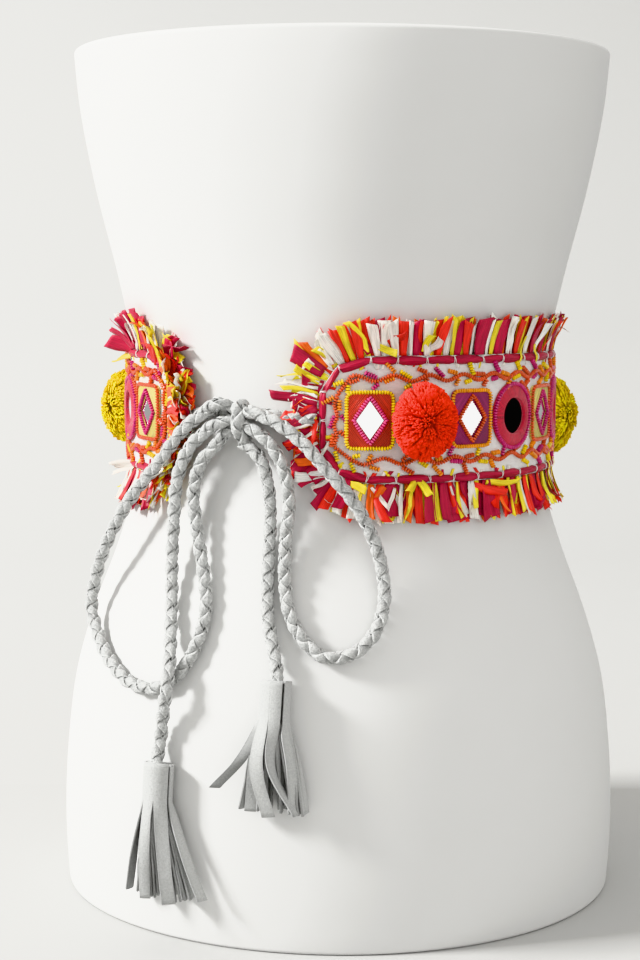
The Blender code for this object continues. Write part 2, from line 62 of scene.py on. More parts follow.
# The display form's sections, as its solid has them
FORM_SECTIONS = np.array((
    # height, half width, half depth
    (0.0, 150.5, 132.4),
    (30.0, 152.0, 134.9),
    (80.0, 150.0, 135.1),
    (120.0, 144.4, 131.5),
    (155.0, 133.9, 123.1),
    (185.0, 122.5, 113.5),
    (215.0, 113.2, 105.8),
    (250.0, 109.0, 102.0),
    (285.0, 111.2, 102.4),
    (330.0, 120.2, 107.7),
    (380.0, 132.5, 115.6),
    (425.0, 140.7, 119.9),
    (450.3, 143.0, 120.1),
))
FORM_HEIGHT = FORM_SECTIONS[-1, 0]
FORM_RIM_ROUND = 2.2

# The canvas band. A place on it is a distance along from its right end, a rise from its middle line and a
# distance out from its inside
BAND_HALF_WIDTH = 113.2
BAND_HALF_DEPTH = 104.4
BAND_WALL = 2.0
BAND_HEIGHT = 262.0
BAND_START = -5.0
BAND_SPAN = 318.5
BAND_SPARE = 30.0
CANVAS_OUT = 1.1
CANVAS_WALL = 1.7
PUCKER_GAPS = (1.9, 2.7, 3.9, 5.3, 8.1)
END_CORNERS = (
    # distance in from the end, half height
    (0.0, 14.0),
    (8.5, 27.0),
    (24.0, 31.5),
)
TIE_HALF_SLOT = 6.0
FAN_REACH = 60.0
SIDES = {
    # first and last corner of each stretch of the band's edge
    "end_right": (0, 5),
    "top": (5, 10),
    "end_left": (10, 15),
    "bottom": (15, 20),
}

# The motifs along the band
END_TO_FIRST_MOTIF = 24.5
SLOT_WIDTHS = {"square": 26.2, "ring": 31.6, "pompom": 27.7}
POMPOM_SHIFT = -3.5
POMPOM_DROPS = {2: 0.0, 8: 7.8, 14: 3.0, 18: 3.4}
POMPOM_OUT = 13.4
POMPOM_REACH = 14.6
POMPOM_HALF_HEIGHT = 19.0
POMPOM_LOCKS = 90
OUTLINE_POINTS = 96
BEAD_SHARE = 0.93
MIRROR_SEAT = 2.4
MIRROR_THICK = 0.55
MIRRORS = {
    # name, half width, half height, sides
    "square": ("square", 6.7, 9.4, 4),
    "ring": ("round", 7.95, 8.95, 48),
}


def motif_group(yarn):
    """The four motifs that come again and again, as kind and colour, with a yarn for the pompom."""
    return (("square", "red"), ("pompom", yarn), ("square", "plum"), ("ring", "red"))


YELLOW_PAIR = (("square", "yellow"), ("ring", "red"))
MOTIFS = (
    *motif_group("red"),
    *YELLOW_PAIR,
    *motif_group("mustard"),
    *YELLOW_PAIR,
    *motif_group("red"),
    *motif_group("mustard"),
    YELLOW_PAIR[0],
)

# The braided ties
BRAID_RADIUS = 2.26
BRAID_CROSSING = 0.82
LACE_HALF_WALL = 0.52
CORD_ROUTES = {
    # azimuth, height and lift off the form of each point
    "tie_right": (
        (-6.5, 262.0, 5.0),
        (-11.0, 262.5, 4.6),
        (-16.0, 263.6, 4.5),
        (-21.6, 264.8, 4.7),
    ),
    "tie_left": (
        (-45.1, 262.0, 5.0),
        (-41.0, 262.5, 4.5),
        (-37.0, 263.6, 4.5),
        (-32.6, 264.8, 4.7),
    ),
    "loop_left": (
        (-32.8, 266.0, 12.6),
        (-38.4, 257.6, 14.6),
        (-46.5, 239.0, 16.0),
        (-55.7, 218.0, 18.0),
        (-61.8, 195.0, 18.0),
        (-66.1, 176.0, 14.0),
        (-66.9, 159.0, 9.5),
        (-62.5, 147.0, 6.0),
        (-53.3, 134.0, 4.4),
        (-44.3, 127.0, 4.4),
        (-37.4, 128.5, 4.4),
        (-32.7, 138.5, 4.4),
        (-30.1, 153.0, 4.4),
        (-29.6, 168.0, 4.6),
        (-31.5, 184.0, 6.0),
        (-34.9, 206.0, 9.0),
        (-36.6, 226.0, 11.5),
        (-34.4, 241.0, 12.0),
        (-30.2, 250.5, 10.5),
    ),
    "tail_left": (
        (-32.3, 257.0, 12.6),
        (-36.9, 247.8, 15.2),
        (-40.4, 233.0, 15.0),
        (-40.9, 210.0, 13.0),
        (-40.5, 190.0, 9.0),
        (-38.9, 171.0, 6.0),
        (-36.3, 154.0, 7.5),
        (-34.0, 142.0, 11.6),
        (-33.4, 129.5, 12.6),
        (-34.6, 115.0, 8.0),
        (-35.3, 103.0, 5.6),
        (-35.3, 94.2, 7.2),
    ),
    "loop_right": (
        (-21.2, 266.0, 12.6),
        (-15.6, 262.5, 15.0),
        (-8.8, 253.0, 17.5),
        (-3.2, 240.0, 18.5),
        (2.3, 226.0, 16.5),
        (6.8, 209.0, 12.0),
        (9.5, 190.0, 6.5),
        (9.6, 173.0, 4.4),
        (7.0, 159.0, 4.4),
        (2.2, 150.0, 4.4),
        (-2.7, 149.0, 4.4),
        (-7.3, 157.0, 4.4),
        (-10.3, 168.0, 4.4),
        (-12.0, 184.0, 5.0),
        (-12.2, 204.0, 8.0),
        (-11.7, 224.0, 11.0),
        (-13.4, 241.0, 13.2),
        (-17.6, 253.5, 13.2),
        (-21.3, 258.0, 12.6),
    ),
    "tail_right": (
        (-23.6, 250.2, 9.5),
        (-19.6, 244.5, 10.5),
        (-17.2, 230.0, 9.0),
        (-16.6, 213.0, 6.0),
        (-16.2, 189.0, 4.4),
        (-14.9, 165.0, 4.4),
        (-12.7, 149.0, 6.2),
        (-11.8, 140.5, 7.6),
    ),
}

KNOT_AZIMUTH = -27.0
KNOT_HEIGHT = 263.7
KNOT_COURSES = (
    # cord and its end, points between by across, rise and lift, next cord and its end
    (
        "loop_left", 0,
        ((-8.6, 4.6, 13.2), (-4.4, 6.4, 13.0), (0.0, 4.4, 9.4), (6.4, 2.6, 9.6)),
        "loop_right", 0,
    ),
    ("tail_left", 0, ((-5.0, -3.8, 11.8), (0.5, -2.6, 9.0), (5.5, -3.6, 11.4)), "loop_right", -1),
    ("loop_left", -1, ((-3.6, -8.6, 8.6), (0.8, -6.4, 6.6), (4.2, -8.4, 8.2)), "tail_right", 0),
    ("tie_left", -1, ((-5.0, 1.6, 5.2), (5.0, 1.6, 5.2)), "tie_right", -1),
)
KNOT_LAP = 2
TOWARDS_FRONT = np.array((0.0, -1.0, 0.0))
WRAP_ACROSS = 5.4
WRAP_RISE = -3.0
WRAP_HALF_HEIGHT = 8.0
WRAP_LIFT = 9.0
WRAP_HALF_DEPTH = 5.1

# The tassels. A head is a sheet that is rolled up, with a step and a gap at its seam, and tilted a little
TASSEL_LIFT = 7.9
TASSEL_NECK = 18.0
TASSEL_RADIUS = 7.05
TASSEL_TURNS = 2.3
TASSEL_STEP = 0.5
TASSEL_TILT = 0.22
SEAM_GAP = 12.0
ROLL_INSET = 2.2
ROLL_WALL = 1.1
# The roll inside a head is painted darker, as the shade within the head
ROLL_PAINTED_SHADE = 0.4
CORD_INTO_HEAD = 5.0
TASSEL_TONE = 0.88
SUEDE_WALL = 1.15
FRONT_SPREAD = 112.0
# Strips that leave the neck left of LIT_STRIP face the lamp; below the neck they are painted darker, as shade
LIT_STRIP = -79.0
LIT_STRIP_PAINTED_SHADE = 0.66
CRISP_EDGES = ((0.0, 1 / 6, 1 / 3, 1 / 2), (0.0, 0.25, 0.475, 0.5))
TASSELS = {
    # azimuth, height of the head's top, drop to the tips, seam's angle as seen, way that the roll turns
    "tassel_left": (-34.4, 92.8, 68.3, 34.5, 1),
    "tassel_right": (-11.7, 138.2, 63.6, 20.0, -1),
}
TASSEL_STRIPS = {
    # angle at the neck, tip aside, tip lift, bow sideways, turn at the tip, width, share of the drop
    # All angles and the tip's place aside are as seen from the front
    "tassel_left": (
        (-80.0, -14.1, 9.0, -0.8, -122.0, 4.8, 0.975),
        (-41.0, -5.8, 13.2, -0.4, -8.0, 5.0, 1.0),
        (9.0, 5.4, 14.4, 0.0, 3.0, 6.5, 0.995),
        (60.0, 20.2, 9.2, 0.6, 22.0, 5.2, 0.95),
        (98.0, 17.0, 6.0, 0.6, 60.0, 4.6, 0.955),
    ),
    "tassel_right": (
        (-84.0, -27.6, 9.0, 3.0, 8.0, 5.2, 0.77),
        (-43.0, -1.4, 14.0, -4.0, 4.0, 6.0, 1.0),
        (1.0, 10.8, 12.4, -5.6, 58.0, 4.9, 0.985),
        (38.0, 9.6, 11.4, 1.6, 28.0, 4.9, 0.97),
        (72.0, 14.8, 8.2, 1.2, 72.0, 4.6, 1.0),
        (100.0, 15.8, 6.0, 1.6, 58.0, 4.6, 0.995),
    ),
}
TASSEL_INNER_STRIPS = {
    "tassel_left": (
        (-60.0, -9.4, 8.0, -0.4, 76.0, 4.0, 0.985),
        (-30.0, -2.8, 9.6, -0.2, 80.0, 4.0, 0.99),
        (-20.0, -1.2, 8.6, 0.1, 84.0, 4.0, 1.0),
        (-8.0, 0.4, 7.6, -0.2, 82.0, 4.0, 0.98),
        (28.0, 8.8, 10.2, 0.2, 78.0, 4.0, 0.985),
        (38.0, 10.8, 9.2, 0.2, 82.0, 4.0, 0.98),
        (48.0, 13.0, 8.4, 0.4, 78.0, 4.0, 0.97),
        (56.0, 15.4, 7.4, 0.2, 74.0, 4.0, 0.965),
    ),
    "tassel_right": (
        (-78.0, -14.2, 7.6, -0.6, 48.0, 4.4, 0.97),
        (-62.0, -10.0, 9.2, -1.4, 0.0, 5.4, 0.985),
        (-40.0, -6.2, 7.6, -1.0, 76.0, 4.0, 0.98),
        (-14.0, -2.6, 7.6, -0.8, 82.0, 4.0, 0.985),
        (18.0, 4.4, 8.6, 0.0, 84.0, 4.0, 0.98),
        (34.0, 8.2, 8.2, 0.6, 80.0, 4.0, 0.985),
        (50.0, 12.6, 8.8, 1.2, 78.0, 4.0, 0.99),
        (64.0, 13.8, 7.0, 1.2, 74.0, 4.0, 0.985),
    ),
}

# Colours of beads, threads and yarns, in linear light
CORAL = (0.70, 0.12, 0.045)
ORANGE = (0.84, 0.29, 0.03)
AMBER = (0.88, 0.36, 0.02)
LEMON = (0.86, 0.64, 0.015)
MAGENTA = (0.56, 0.05, 0.19)
PINK = (0.74, 0.11, 0.28)
PATCH_COLOURS = {
    # satin, bead frame, bead diamond
    "red": ((0.62, 0.060, 0.034), LEMON, PINK),
    "plum": ((0.31, 0.030, 0.125), AMBER, CORAL),
    "yellow": ((0.70, 0.60, 0.16), CORAL, MAGENTA),
}
RING_SATIN = (0.62, 0.018, 0.052)
YARNS = {
    # colour, how much of it is left deep inside, where the yarn is painted darker as shade
    "red": ((0.95, 0.042, 0.01), 0.40),
    "mustard": ((0.95, 0.72, 0.03), 0.66),
}
WHITE_THREAD = (0.90, 0.88, 0.85)
FORM_WHITE = (0.69, 0.69, 0.68, 1.0)
CANVAS_WHITE = (0.95, 0.945, 0.93, 1.0)
CANVAS_THREAD = 0.55
SATIN_THREAD = 0.78

# The fringe's strands. A small letter is a narrow strand
STRAND_WIDTHS = {
    # width at the root, width at the tip
    "W": (5.0, 8.6),
    "B": (3.3, 5.4),
    "b": (1.6, 2.4),
    "C": (2.9, 4.8),
    "c": (1.3, 2.1),
    "Y": (2.3, 3.8),
    "y": (1.2, 2.0),
    "R": (2.7, 4.6),
    "r": (1.4, 2.3),
    "O": (2.5, 4.0),
    "o": (1.3, 2.1),
}
STRAND_DYES = {"W": "burgundy", "B": "burgundy", "C": "cream", "Y": "yellow", "R": "red", "O": "orange"}
FRONT_STRANDS = {
    # the strands in order, from the corner by the band's right end, or from the top
    "top": "CrYRYCCCRcBCyRCyBRcWcYWCcRYCyBCBcRyCyB",
    "bottom": "RBCyORWcOyRBYBRyBCYWRoRYBYcRyRBRcYoBY",
    "end_left": "BRYCOYCRYOCYRBOYCROYCRYBROC",
    "end_right": "",
}
OTHER_STRANDS = "WBBBBCCCCcYYYyRRRrOo"
STUB_STRANDS = "yyyyccccrrb"
BUSH_STRANDS = "OOOYYYYRRRCCCCW"
BUSH_COUNT = 46
BUSH_INSET = 4.2
BUSH_SPARE = 8.0
FRINGE_ROWS = {
    # distance out, steepness, length
    "behind": (0.9, 0.75, 1.0),
    "front": (1.7, 1.0, 0.97),
    "upper": (2.5, 1.15, 0.97),
    "bush": (3.6, 1.3, 0.95),
}
WILD_END = ((30.0, 80.0), (0.6, 0.0))
BINDING_LIFT = 3.0
STRAND_LAP = 0.93
STRAND_WALL = 0.14
STUB_GAP = 4.8
PLACED_LIFT = 2.4
PLACED_STRANDS = {
    # letter, root along and rise, tip along and rise, lift at the tip, how crumpled it is
    "end_right": (
        ("r", 6.6, 27.2, 2.2, 45.6, 4.0, 0.1),
        ("C", 5.6, 27.0, -2.4, 42.2, 4.6, 0.1),
        ("O", 3.6, 25.6, -8.8, 38.6, 4.6, 0.1),
        ("y", 2.8, 24.6, -13.4, 37.4, 2.6, 0.3),
        ("W", 2.0, 23.2, -14.2, 34.0, 5.0, 0.1),
        ("y", 0.2, 20.2, -17.6, 26.6, 4.6, 0.7),
        ("c", 0.0, 19.0, -20.0, 25.0, 3.6, 0.6),
        ("Y", -0.2, 18.0, -13.6, 23.4, 5.2, 0.6),
        ("c", -0.6, 16.2, -20.2, 19.6, 4.0, 0.5),
        ("y", -0.8, 13.8, -18.6, 17.6, 5.0, 0.4),
        ("c", -1.0, 11.4, -15.0, 15.4, 3.4, 0.4),
        ("B", -1.0, 8.6, -23.6, 12.4, 5.4, 0.3),
        ("c", -1.0, 9.6, -13.6, 10.8, 3.0, 0.5),
        ("R", -1.2, 6.6, -19.4, 1.6, 5.4, 0.8),
        ("B", -1.2, 6.2, -15.0, -4.4, 7.0, 0.3),
        ("y", -1.4, 1.8, -13.0, -3.6, 3.4, 0.5),
        ("c", -1.6, 2.0, -6.6, -7.6, 8.0, 0.6),
        ("R", -1.6, 0.4, -6.4, -11.2, 7.4, 0.4),
        ("c", -1.2, -0.8, -4.0, -12.8, 8.0, 0.4),
        ("B", -1.2, -4.4, -17.4, -12.4, 4.0, 0.3),
        ("R", -1.0, -8.0, -15.4, -15.6, 4.6, 0.5),
        ("c", -0.8, -10.8, -17.0, -17.0, 4.4, 0.4),
        ("W", 0.6, -14.6, -15.4, -23.0, 5.0, 0.2),
        ("O", 2.2, -20.0, -10.6, -19.6, 7.0, 0.2),
        ("R", 3.4, -22.0, -13.2, -27.4, 4.6, 0.5),
        ("C", 5.4, -26.0, -11.8, -30.6, 7.0, 0.3),
        ("b", 6.0, -26.6, -10.6, -33.0, 5.6, 0.3),
        ("c", 6.4, -27.0, -5.8, -33.6, 6.4, 0.5),
    ),
    "top": (
        ("B", 24.0, 32.4, 14.0, 50.0, 2.4, 0.5),
        ("R", 33.0, 38.0, 41.0, 42.6, 7.6, 0.8),
        ("Y", 27.0, 36.4, 37.4, 32.6, 6.4, 0.1),
        ("Y", 50.4, 33.6, 52.0, 42.4, 8.4, 0.9),
        ("C", 54.0, 33.0, 58.8, 39.4, 8.4, 0.8),
        ("Y", 557.0, 28.0, 549.0, 26.0, 11.0, 0.7),
        ("W", 559.0, 31.0, 552.0, 36.0, 14.0, 0.1),
        ("B", 562.0, 31.5, 555.0, 43.0, 13.0, 0.2),
        ("W", 565.0, 32.0, 560.0, 49.0, 10.0, 0.1),
        ("W", 569.0, 32.0, 566.0, 52.0, 9.0, 0.2),
        ("c", 572.0, 32.0, 570.0, 50.0, 9.6, 0.2),
        ("W", 575.0, 32.0, 573.0, 53.0, 8.0, 0.1),
        ("y", 577.0, 32.0, 575.0, 51.0, 8.6, 0.2),
        ("B", 580.0, 32.0, 579.0, 53.0, 8.0, 0.2),
        ("O", 584.0, 32.0, 585.0, 49.0, 8.6, 0.8),
    ),
    "end_left": (),
    "bottom": (
        ("Y", 13.0, -30.0, 23.0, -33.4, 6.0, 0.3),
        ("O", 31.6, -32.4, 27.0, -38.6, 7.0, 0.8),
        ("c", 25.4, -33.0, 32.4, -43.0, 8.0, 0.1),
        ("c", 37.0, -33.4, 32.8, -43.4, 8.0, 0.1),
        ("Y", 50.0, -28.6, 43.2, -36.4, 6.6, 0.4),
        ("Y", 48.4, -29.0, 55.0, -36.0, 6.6, 0.5),
        ("R", 80.0, -33.6, 96.0, -41.0, 8.4, 0.2),
        ("Y", 88.0, -33.0, 104.0, -38.6, 9.4, 0.5),
        ("C", 559.0, -29.0, 550.0, -30.0, 12.0, 0.3),
        ("c", 561.0, -31.0, 552.0, -35.0, 12.0, 0.3),
        ("R", 564.0, -32.0, 558.0, -48.0, 10.0, 0.2),
        ("W", 567.0, -32.0, 562.0, -51.0, 9.0, 0.2),
        ("C", 570.0, -32.0, 566.0, -50.0, 9.6, 0.2),
        ("R", 573.0, -32.0, 570.0, -52.0, 9.0, 0.2),
        ("W", 577.0, -32.0, 576.0, -52.0, 8.6, 0.1),
        ("O", 581.0, -32.0, 583.0, -46.0, 8.6, 0.8),
    ),
}
FRINGES = {
    # share of crumpled strands, length, lean out, strands per millimetre behind, breadth
    "end_right": (0.60, 14.0, 3.4, 0.50, 1.15),
    "top": (0.14, 18.8, 5.2, 0.40, 1.0),
    "end_left": (0.60, 16.0, 4.6, 0.70, 1.5),
    "bottom": (0.45, 19.6, 5.6, 0.44, 1.0),
}
BINDING_WIDTHS = {"end_right": 3.2, "top": 4.2, "end_left": 3.4, "bottom": 4.0}
BINDING_MARGIN = 0.15
BINDING_WALL = 0.2
BINDING_RIBBONS = (
    # share of the width, distance out, tone and painted shade: the lower ribbon is darker, as shade beside
    # the raised upper one
    (1.0, 2.3, 0.80),
    (0.62, 2.85, 0.98),
)
COUCHING_THICK = 0.19

# The stage and the camera, in metres and radians
GROUND_WIDTH = 2.6
TABLE_EDGE = 0.155
BACKDROP = (
    # depth, height
    (TABLE_EDGE, -0.003),
    (1.1, -0.003),
    (1.7, 0.25),
    (2.1, 1.0),
    (2.2, 2.8),
)
DOORWAY = (0.953, 0.291, -0.08)
CAMERA_PLACE = (0.0, -0.953, 0.3307)
CAMERA_YAW = 0.01135
CAMERA_PITCH = 0.1153
CAMERA_ROLL = 0.00373
ROOM_LIGHT = (1.0, 0.99, 0.965, 1.0)


class BeltSizes(PropertyGroup):
    """Sizes of the belt's small parts"""

    bead_across: FloatProperty(
        name="Bead across",
        description="Diameter of a seed bead",
        default=2.15, min=1.0, max=4.0, unit="CAMERA",
    )
    bead_pitch: FloatProperty(
        name="Bead pitch",
        description="From one bead to the next on its string",
        default=1.38, min=0.8, max=4.0, unit="CAMERA",
    )
    leaf_step: FloatProperty(
        name="Leaf step",
        description="From one pair of bead leaves to the next",
        default=8.9, min=5.0, max=40.0, unit="CAMERA",
    )
    stitch_step: FloatProperty(
        name="Stitch step",
        description="From one couching stitch to the next",
        default=15.6, min=5.0, max=40.0, unit="CAMERA",
    )
    braid_turn: FloatProperty(
        name="Braid turn",
        description="Length in which a lace goes once round its cord",
        default=19.4, min=8.0, max=40.0, unit="CAMERA",
    )
    lace_width: FloatProperty(
        name="Lace width",
        description="Width of each suede lace of the braid",
        default=4.5, min=2.0, max=6.0, unit="CAMERA",
    )
    yarn_ends: IntProperty(
        name="Yarn ends",
        description="Cut ends on each pompom",
        default=2200, min=100, max=4000,
    )


def dye_property(name, description, colour):
    """A colour that a user can change."""
    return FloatVectorProperty(name=name, description=description, subtype="COLOR", default=colour)


class BeltDyes(PropertyGroup):
    """Colours of the belt's raffia and suede"""

    burgundy: dye_property("Burgundy raffia", "The raffia of the binding", (0.47, 0.012, 0.052))
    red: dye_property("Red raffia", "Red strands", (0.86, 0.038, 0.022))
    orange: dye_property("Orange raffia", "Orange strands", (0.94, 0.15, 0.015))
    yellow: dye_property("Yellow raffia", "Yellow strands", (0.94, 0.77, 0.05))
    cream: dye_property("Cream raffia", "Undyed strands", (0.94, 0.90, 0.83))
    suede: dye_property("Suede", "Light grey suede of the ties", (0.52, 0.525, 0.515))


def unit(vectors):
    """Vectors along the last axis, each made one long."""
    return vectors / np.linalg.norm(vectors, axis=-1, keepdims=True)


def stacked(*parts):
    """Points or vectors from their coordinates, which may be arrays of like shapes or numbers."""
    return np.stack(np.broadcast_arrays(*parts), -1)


def between_rows(at, stations, rows):
    """Rows of a table at stations between its own."""
    return np.stack([np.interp(at, stations, column) for column in rows.T], -1)


def smooth_table(stations, values, at):
    """Values on a cubic curve through a table's rows, at one place or many."""
    stations = np.asarray(stations, float)
    values = np.asarray(values, float)
    at = np.asarray(at, float)
    slopes = np.gradient(values, stations, axis=0)
    low = np.clip(np.searchsorted(stations, at) - 1, 0, len(stations) - 2)
    step = stations[low + 1] - stations[low]
    share = (at - stations[low]) / step
    if values.ndim > 1:
        step = step[..., None]
        share = share[..., None]
    return (
        (2 * share**3 - 3 * share**2 + 1) * values[low]
        + (share**3 - 2 * share**2 + share) * step * slopes[low]
        + (3 * share**2 - 2 * share**3) * values[low + 1]
        + (share**3 - share**2) * step * slopes[low + 1]
    )


def off_ellipse(half_width, half_depth, azimuth, out, height):
    """Points in metres at azimuths on ellipses, moved out along their normals."""
    turn = np.radians(azimuth)
    sine = np.sin(turn)
    cosine = np.cos(turn)
    across = sine / half_width
    ahead = -cosine / half_depth
    size = np.hypot(across, ahead)
    x = half_width * sine + out * across / size
    y = -half_depth * cosine + out * ahead / size
    return stacked(x, y, height) * MM


def form_places(azimuth, height, lift, across=0.0):
    """Points off the form, at a distance across to the right of an azimuth along its surface."""
    section = smooth_table(FORM_SECTIONS[:, 0], FORM_SECTIONS[:, 1:], height)
    half_width, half_depth = np.moveaxis(section, -1, 0)
    turn = np.radians(azimuth)
    radius = np.hypot(half_width * np.cos(turn), half_depth * np.sin(turn))
    return off_ellipse(half_width, half_depth, azimuth + np.degrees(across / radius), lift, height)


def line_lengths(points):
    """Distances along a line of points, from its first."""
    steps = np.linalg.norm(np.diff(points, axis=0), axis=1)
    return np.concatenate([[0.0], np.cumsum(steps)])


def band_lengths():
    """Azimuths round the band and past its ends, and the distance along its wall at each."""
    azimuths = np.linspace(BAND_START - BAND_SPARE, BAND_START + BAND_SPAN + BAND_SPARE, 1501)
    places = off_ellipse(BAND_HALF_WIDTH, BAND_HALF_DEPTH, azimuths, BAND_WALL / 2, 0.0)
    lengths = line_lengths(places[:, :2]) / MM
    return azimuths, lengths - np.interp(BAND_START, azimuths, lengths)


AZIMUTHS, LENGTHS = band_lengths()
BAND_LENGTH = float(np.interp(BAND_START + BAND_SPAN, AZIMUTHS, LENGTHS))


def belt_places(along, rise, out):
    """Points in metres, by distance along the band, rise and distance out."""
    azimuth = np.interp(along, LENGTHS, AZIMUTHS)
    return off_ellipse(BAND_HALF_WIDTH, BAND_HALF_DEPTH, azimuth, out, BAND_HEIGHT + rise)


def half_rise(along):
    inward = np.minimum(along, BAND_LENGTH - along)
    return np.interp(inward, *zip(*END_CORNERS))


def motif_places():
    widths = [SLOT_WIDTHS[kind] for kind, _ in MOTIFS]
    places = np.concatenate([[0.0], np.cumsum([(a + b) / 2 for a, b in zip(widths, widths[1:])])])
    span = BAND_LENGTH - 2 * END_TO_FIRST_MOTIF
    return END_TO_FIRST_MOTIF + places * span / places[-1]


def edge_corners():
    """The band's outline as corners with outward normals, clockwise from the right end's lowest corner."""
    (_, tip), (shoulder, high), (top, full) = END_CORNERS
    half = [(0, TIE_HALF_SLOT), (0, tip), (shoulder, high)]
    right = [(along, -rise) for along, rise in reversed(half)] + half
    upper = [(top, full), (FAN_REACH, full), (BAND_LENGTH - FAN_REACH, full), (BAND_LENGTH - top, full)]
    left = [(BAND_LENGTH - along, -rise) for along, rise in right]
    lower = [(BAND_LENGTH - along, -rise) for along, rise in upper]
    corners = np.array(right + upper + left + lower, float)
    before = corners - np.roll(corners, 1, axis=0)
    after = np.roll(corners, -1, axis=0) - corners
    tangents = unit(unit(before) + unit(after))
    normals = stacked(-tangents[:, 1], tangents[:, 0])
    return np.concatenate([corners, corners[:1]]), np.concatenate([normals, normals[:1]])


EDGE, EDGE_NORMALS = edge_corners()
EDGE_STATIONS = line_lengths(EDGE)


def edge_places(distance):
    """Points and outward normals at distances along the band's outline."""
    point = between_rows(distance, EDGE_STATIONS, EDGE)
    return point, unit(between_rows(distance, EDGE_STATIONS, EDGE_NORMALS))


def side_span(name):
    """Where a side of the band's outline begins and ends."""
    return EDGE_STATIONS[list(SIDES[name])]


def beside_edge(points, normals, reach, shift):
    """Distances along the band and rises of edge points, moved out by a reach and aside by a shift."""
    aside = stacked(normals[:, 1], -normals[:, 0])
    planar = points[:, None] + normals[:, None] * reach[..., None] + aside[:, None] * shift[..., None]
    return np.moveaxis(planar, -1, 0)


def turned(headings, angle):
    """Headings on the band, turned by an angle in radians."""
    x, y = headings.T
    return stacked(x * np.cos(angle) - y * np.sin(angle), y * np.cos(angle) + x * np.sin(angle))


def spaced(points, pitch, closed=False):
    """Places and headings at even distances along a line."""
    points = np.asarray(points, float)
    if closed:
        points = np.concatenate([points, points[:1]])
    stations = line_lengths(points)
    count = max(2, round(stations[-1] / pitch) + (0 if closed else 1))
    at = np.linspace(0, stations[-1], count, endpoint=not closed)
    low = np.clip(np.searchsorted(stations, at, side="right") - 1, 0, len(points) - 2)
    return between_rows(at, stations, points), unit(np.diff(points, axis=0)[low])


class Shape:
    """A straight shape, as arrays that laid copies of it are made from."""

    def __init__(self, builder):
        builder.verts.index_update()
        self.points = np.array([vert.co for vert in builder.verts])
        self.sizes = np.array([len(face.verts) for face in builder.faces])
        self.corners = np.array([vert.index for face in builder.faces for vert in face.verts])
        builder.free()

    def ring(self, rings):
        """Which of a tube's rings each point is on."""
        return np.round(self.points[:, 2] * (rings - 1)).astype(int)

    def turn(self):
        """Each point's angle round a tube, in radians."""
        return np.arctan2(self.points[:, 1], self.points[:, 0])


def strip_shape(columns, rows):
    """A flat strip, from -0.5 to 0.5 across and from 0 to 1 along."""
    builder = bmesh.new()
    bmesh.ops.create_grid(builder, x_segments=columns, y_segments=rows, size=0.5)
    bmesh.ops.translate(builder, vec=(0, 0.5, 0), verts=builder.verts)
    return Shape(builder)


def tube_shape(sides, rings):
    """A round tube of radius 1 with closed ends, that rises from 0 to 1 in rings."""
    builder = bmesh.new()
    bmesh.ops.create_circle(builder, segments=sides, radius=1.0, cap_ends=True)
    edges = list(builder.edges)
    for _ in range(rings - 1):
        grown = bmesh.ops.extrude_edge_only(builder, edges=edges)["geom"]
        verts = [item for item in grown if isinstance(item, bmesh.types.BMVert)]
        bmesh.ops.translate(builder, vec=(0, 0, 1 / (rings - 1)), verts=verts)
        edges = [item for item in grown if isinstance(item, bmesh.types.BMEdge)]
        edges = [edge for edge in edges if edge.verts[0] in verts and edge.verts[1] in verts]
    bmesh.ops.contextual_create(builder, geom=edges)
    bmesh.ops.recalc_face_normals(builder, faces=builder.faces)
    return Shape(builder)


def bead_shape():
    """A short barrel of length 1 and diameter 1 along X, with rounded rims."""
    builder = bmesh.new()
    bmesh.ops.create_cone(
        builder, cap_ends=True, cap_tris=False, segments=8, radius1=0.5, radius2=0.5, depth=1.0,
        matrix=Matrix.Rotation(math.pi / 2, 4, "Y"),
    )
    rims = [edge for edge in builder.edges if len({len(face.verts) for face in edge.link_faces}) > 1]
    bmesh.ops.bevel(
        builder, geom=rims, offset=0.28, offset_type="OFFSET", segments=1, profile=0.5, affect="EDGES",
        material=-1,
    )
    return Shape(builder)


def disc_shape(sides):
    """A flat disc of radius 1 that faces up."""
    builder = bmesh.new()
    bmesh.ops.create_circle(builder, segments=sides, radius=1.0, cap_ends=True)
    return Shape(builder)


def ball_shape(radius):
    builder = bmesh.new()
    bmesh.ops.create_icosphere(builder, subdivisions=3, radius=radius)
    return Shape(builder)


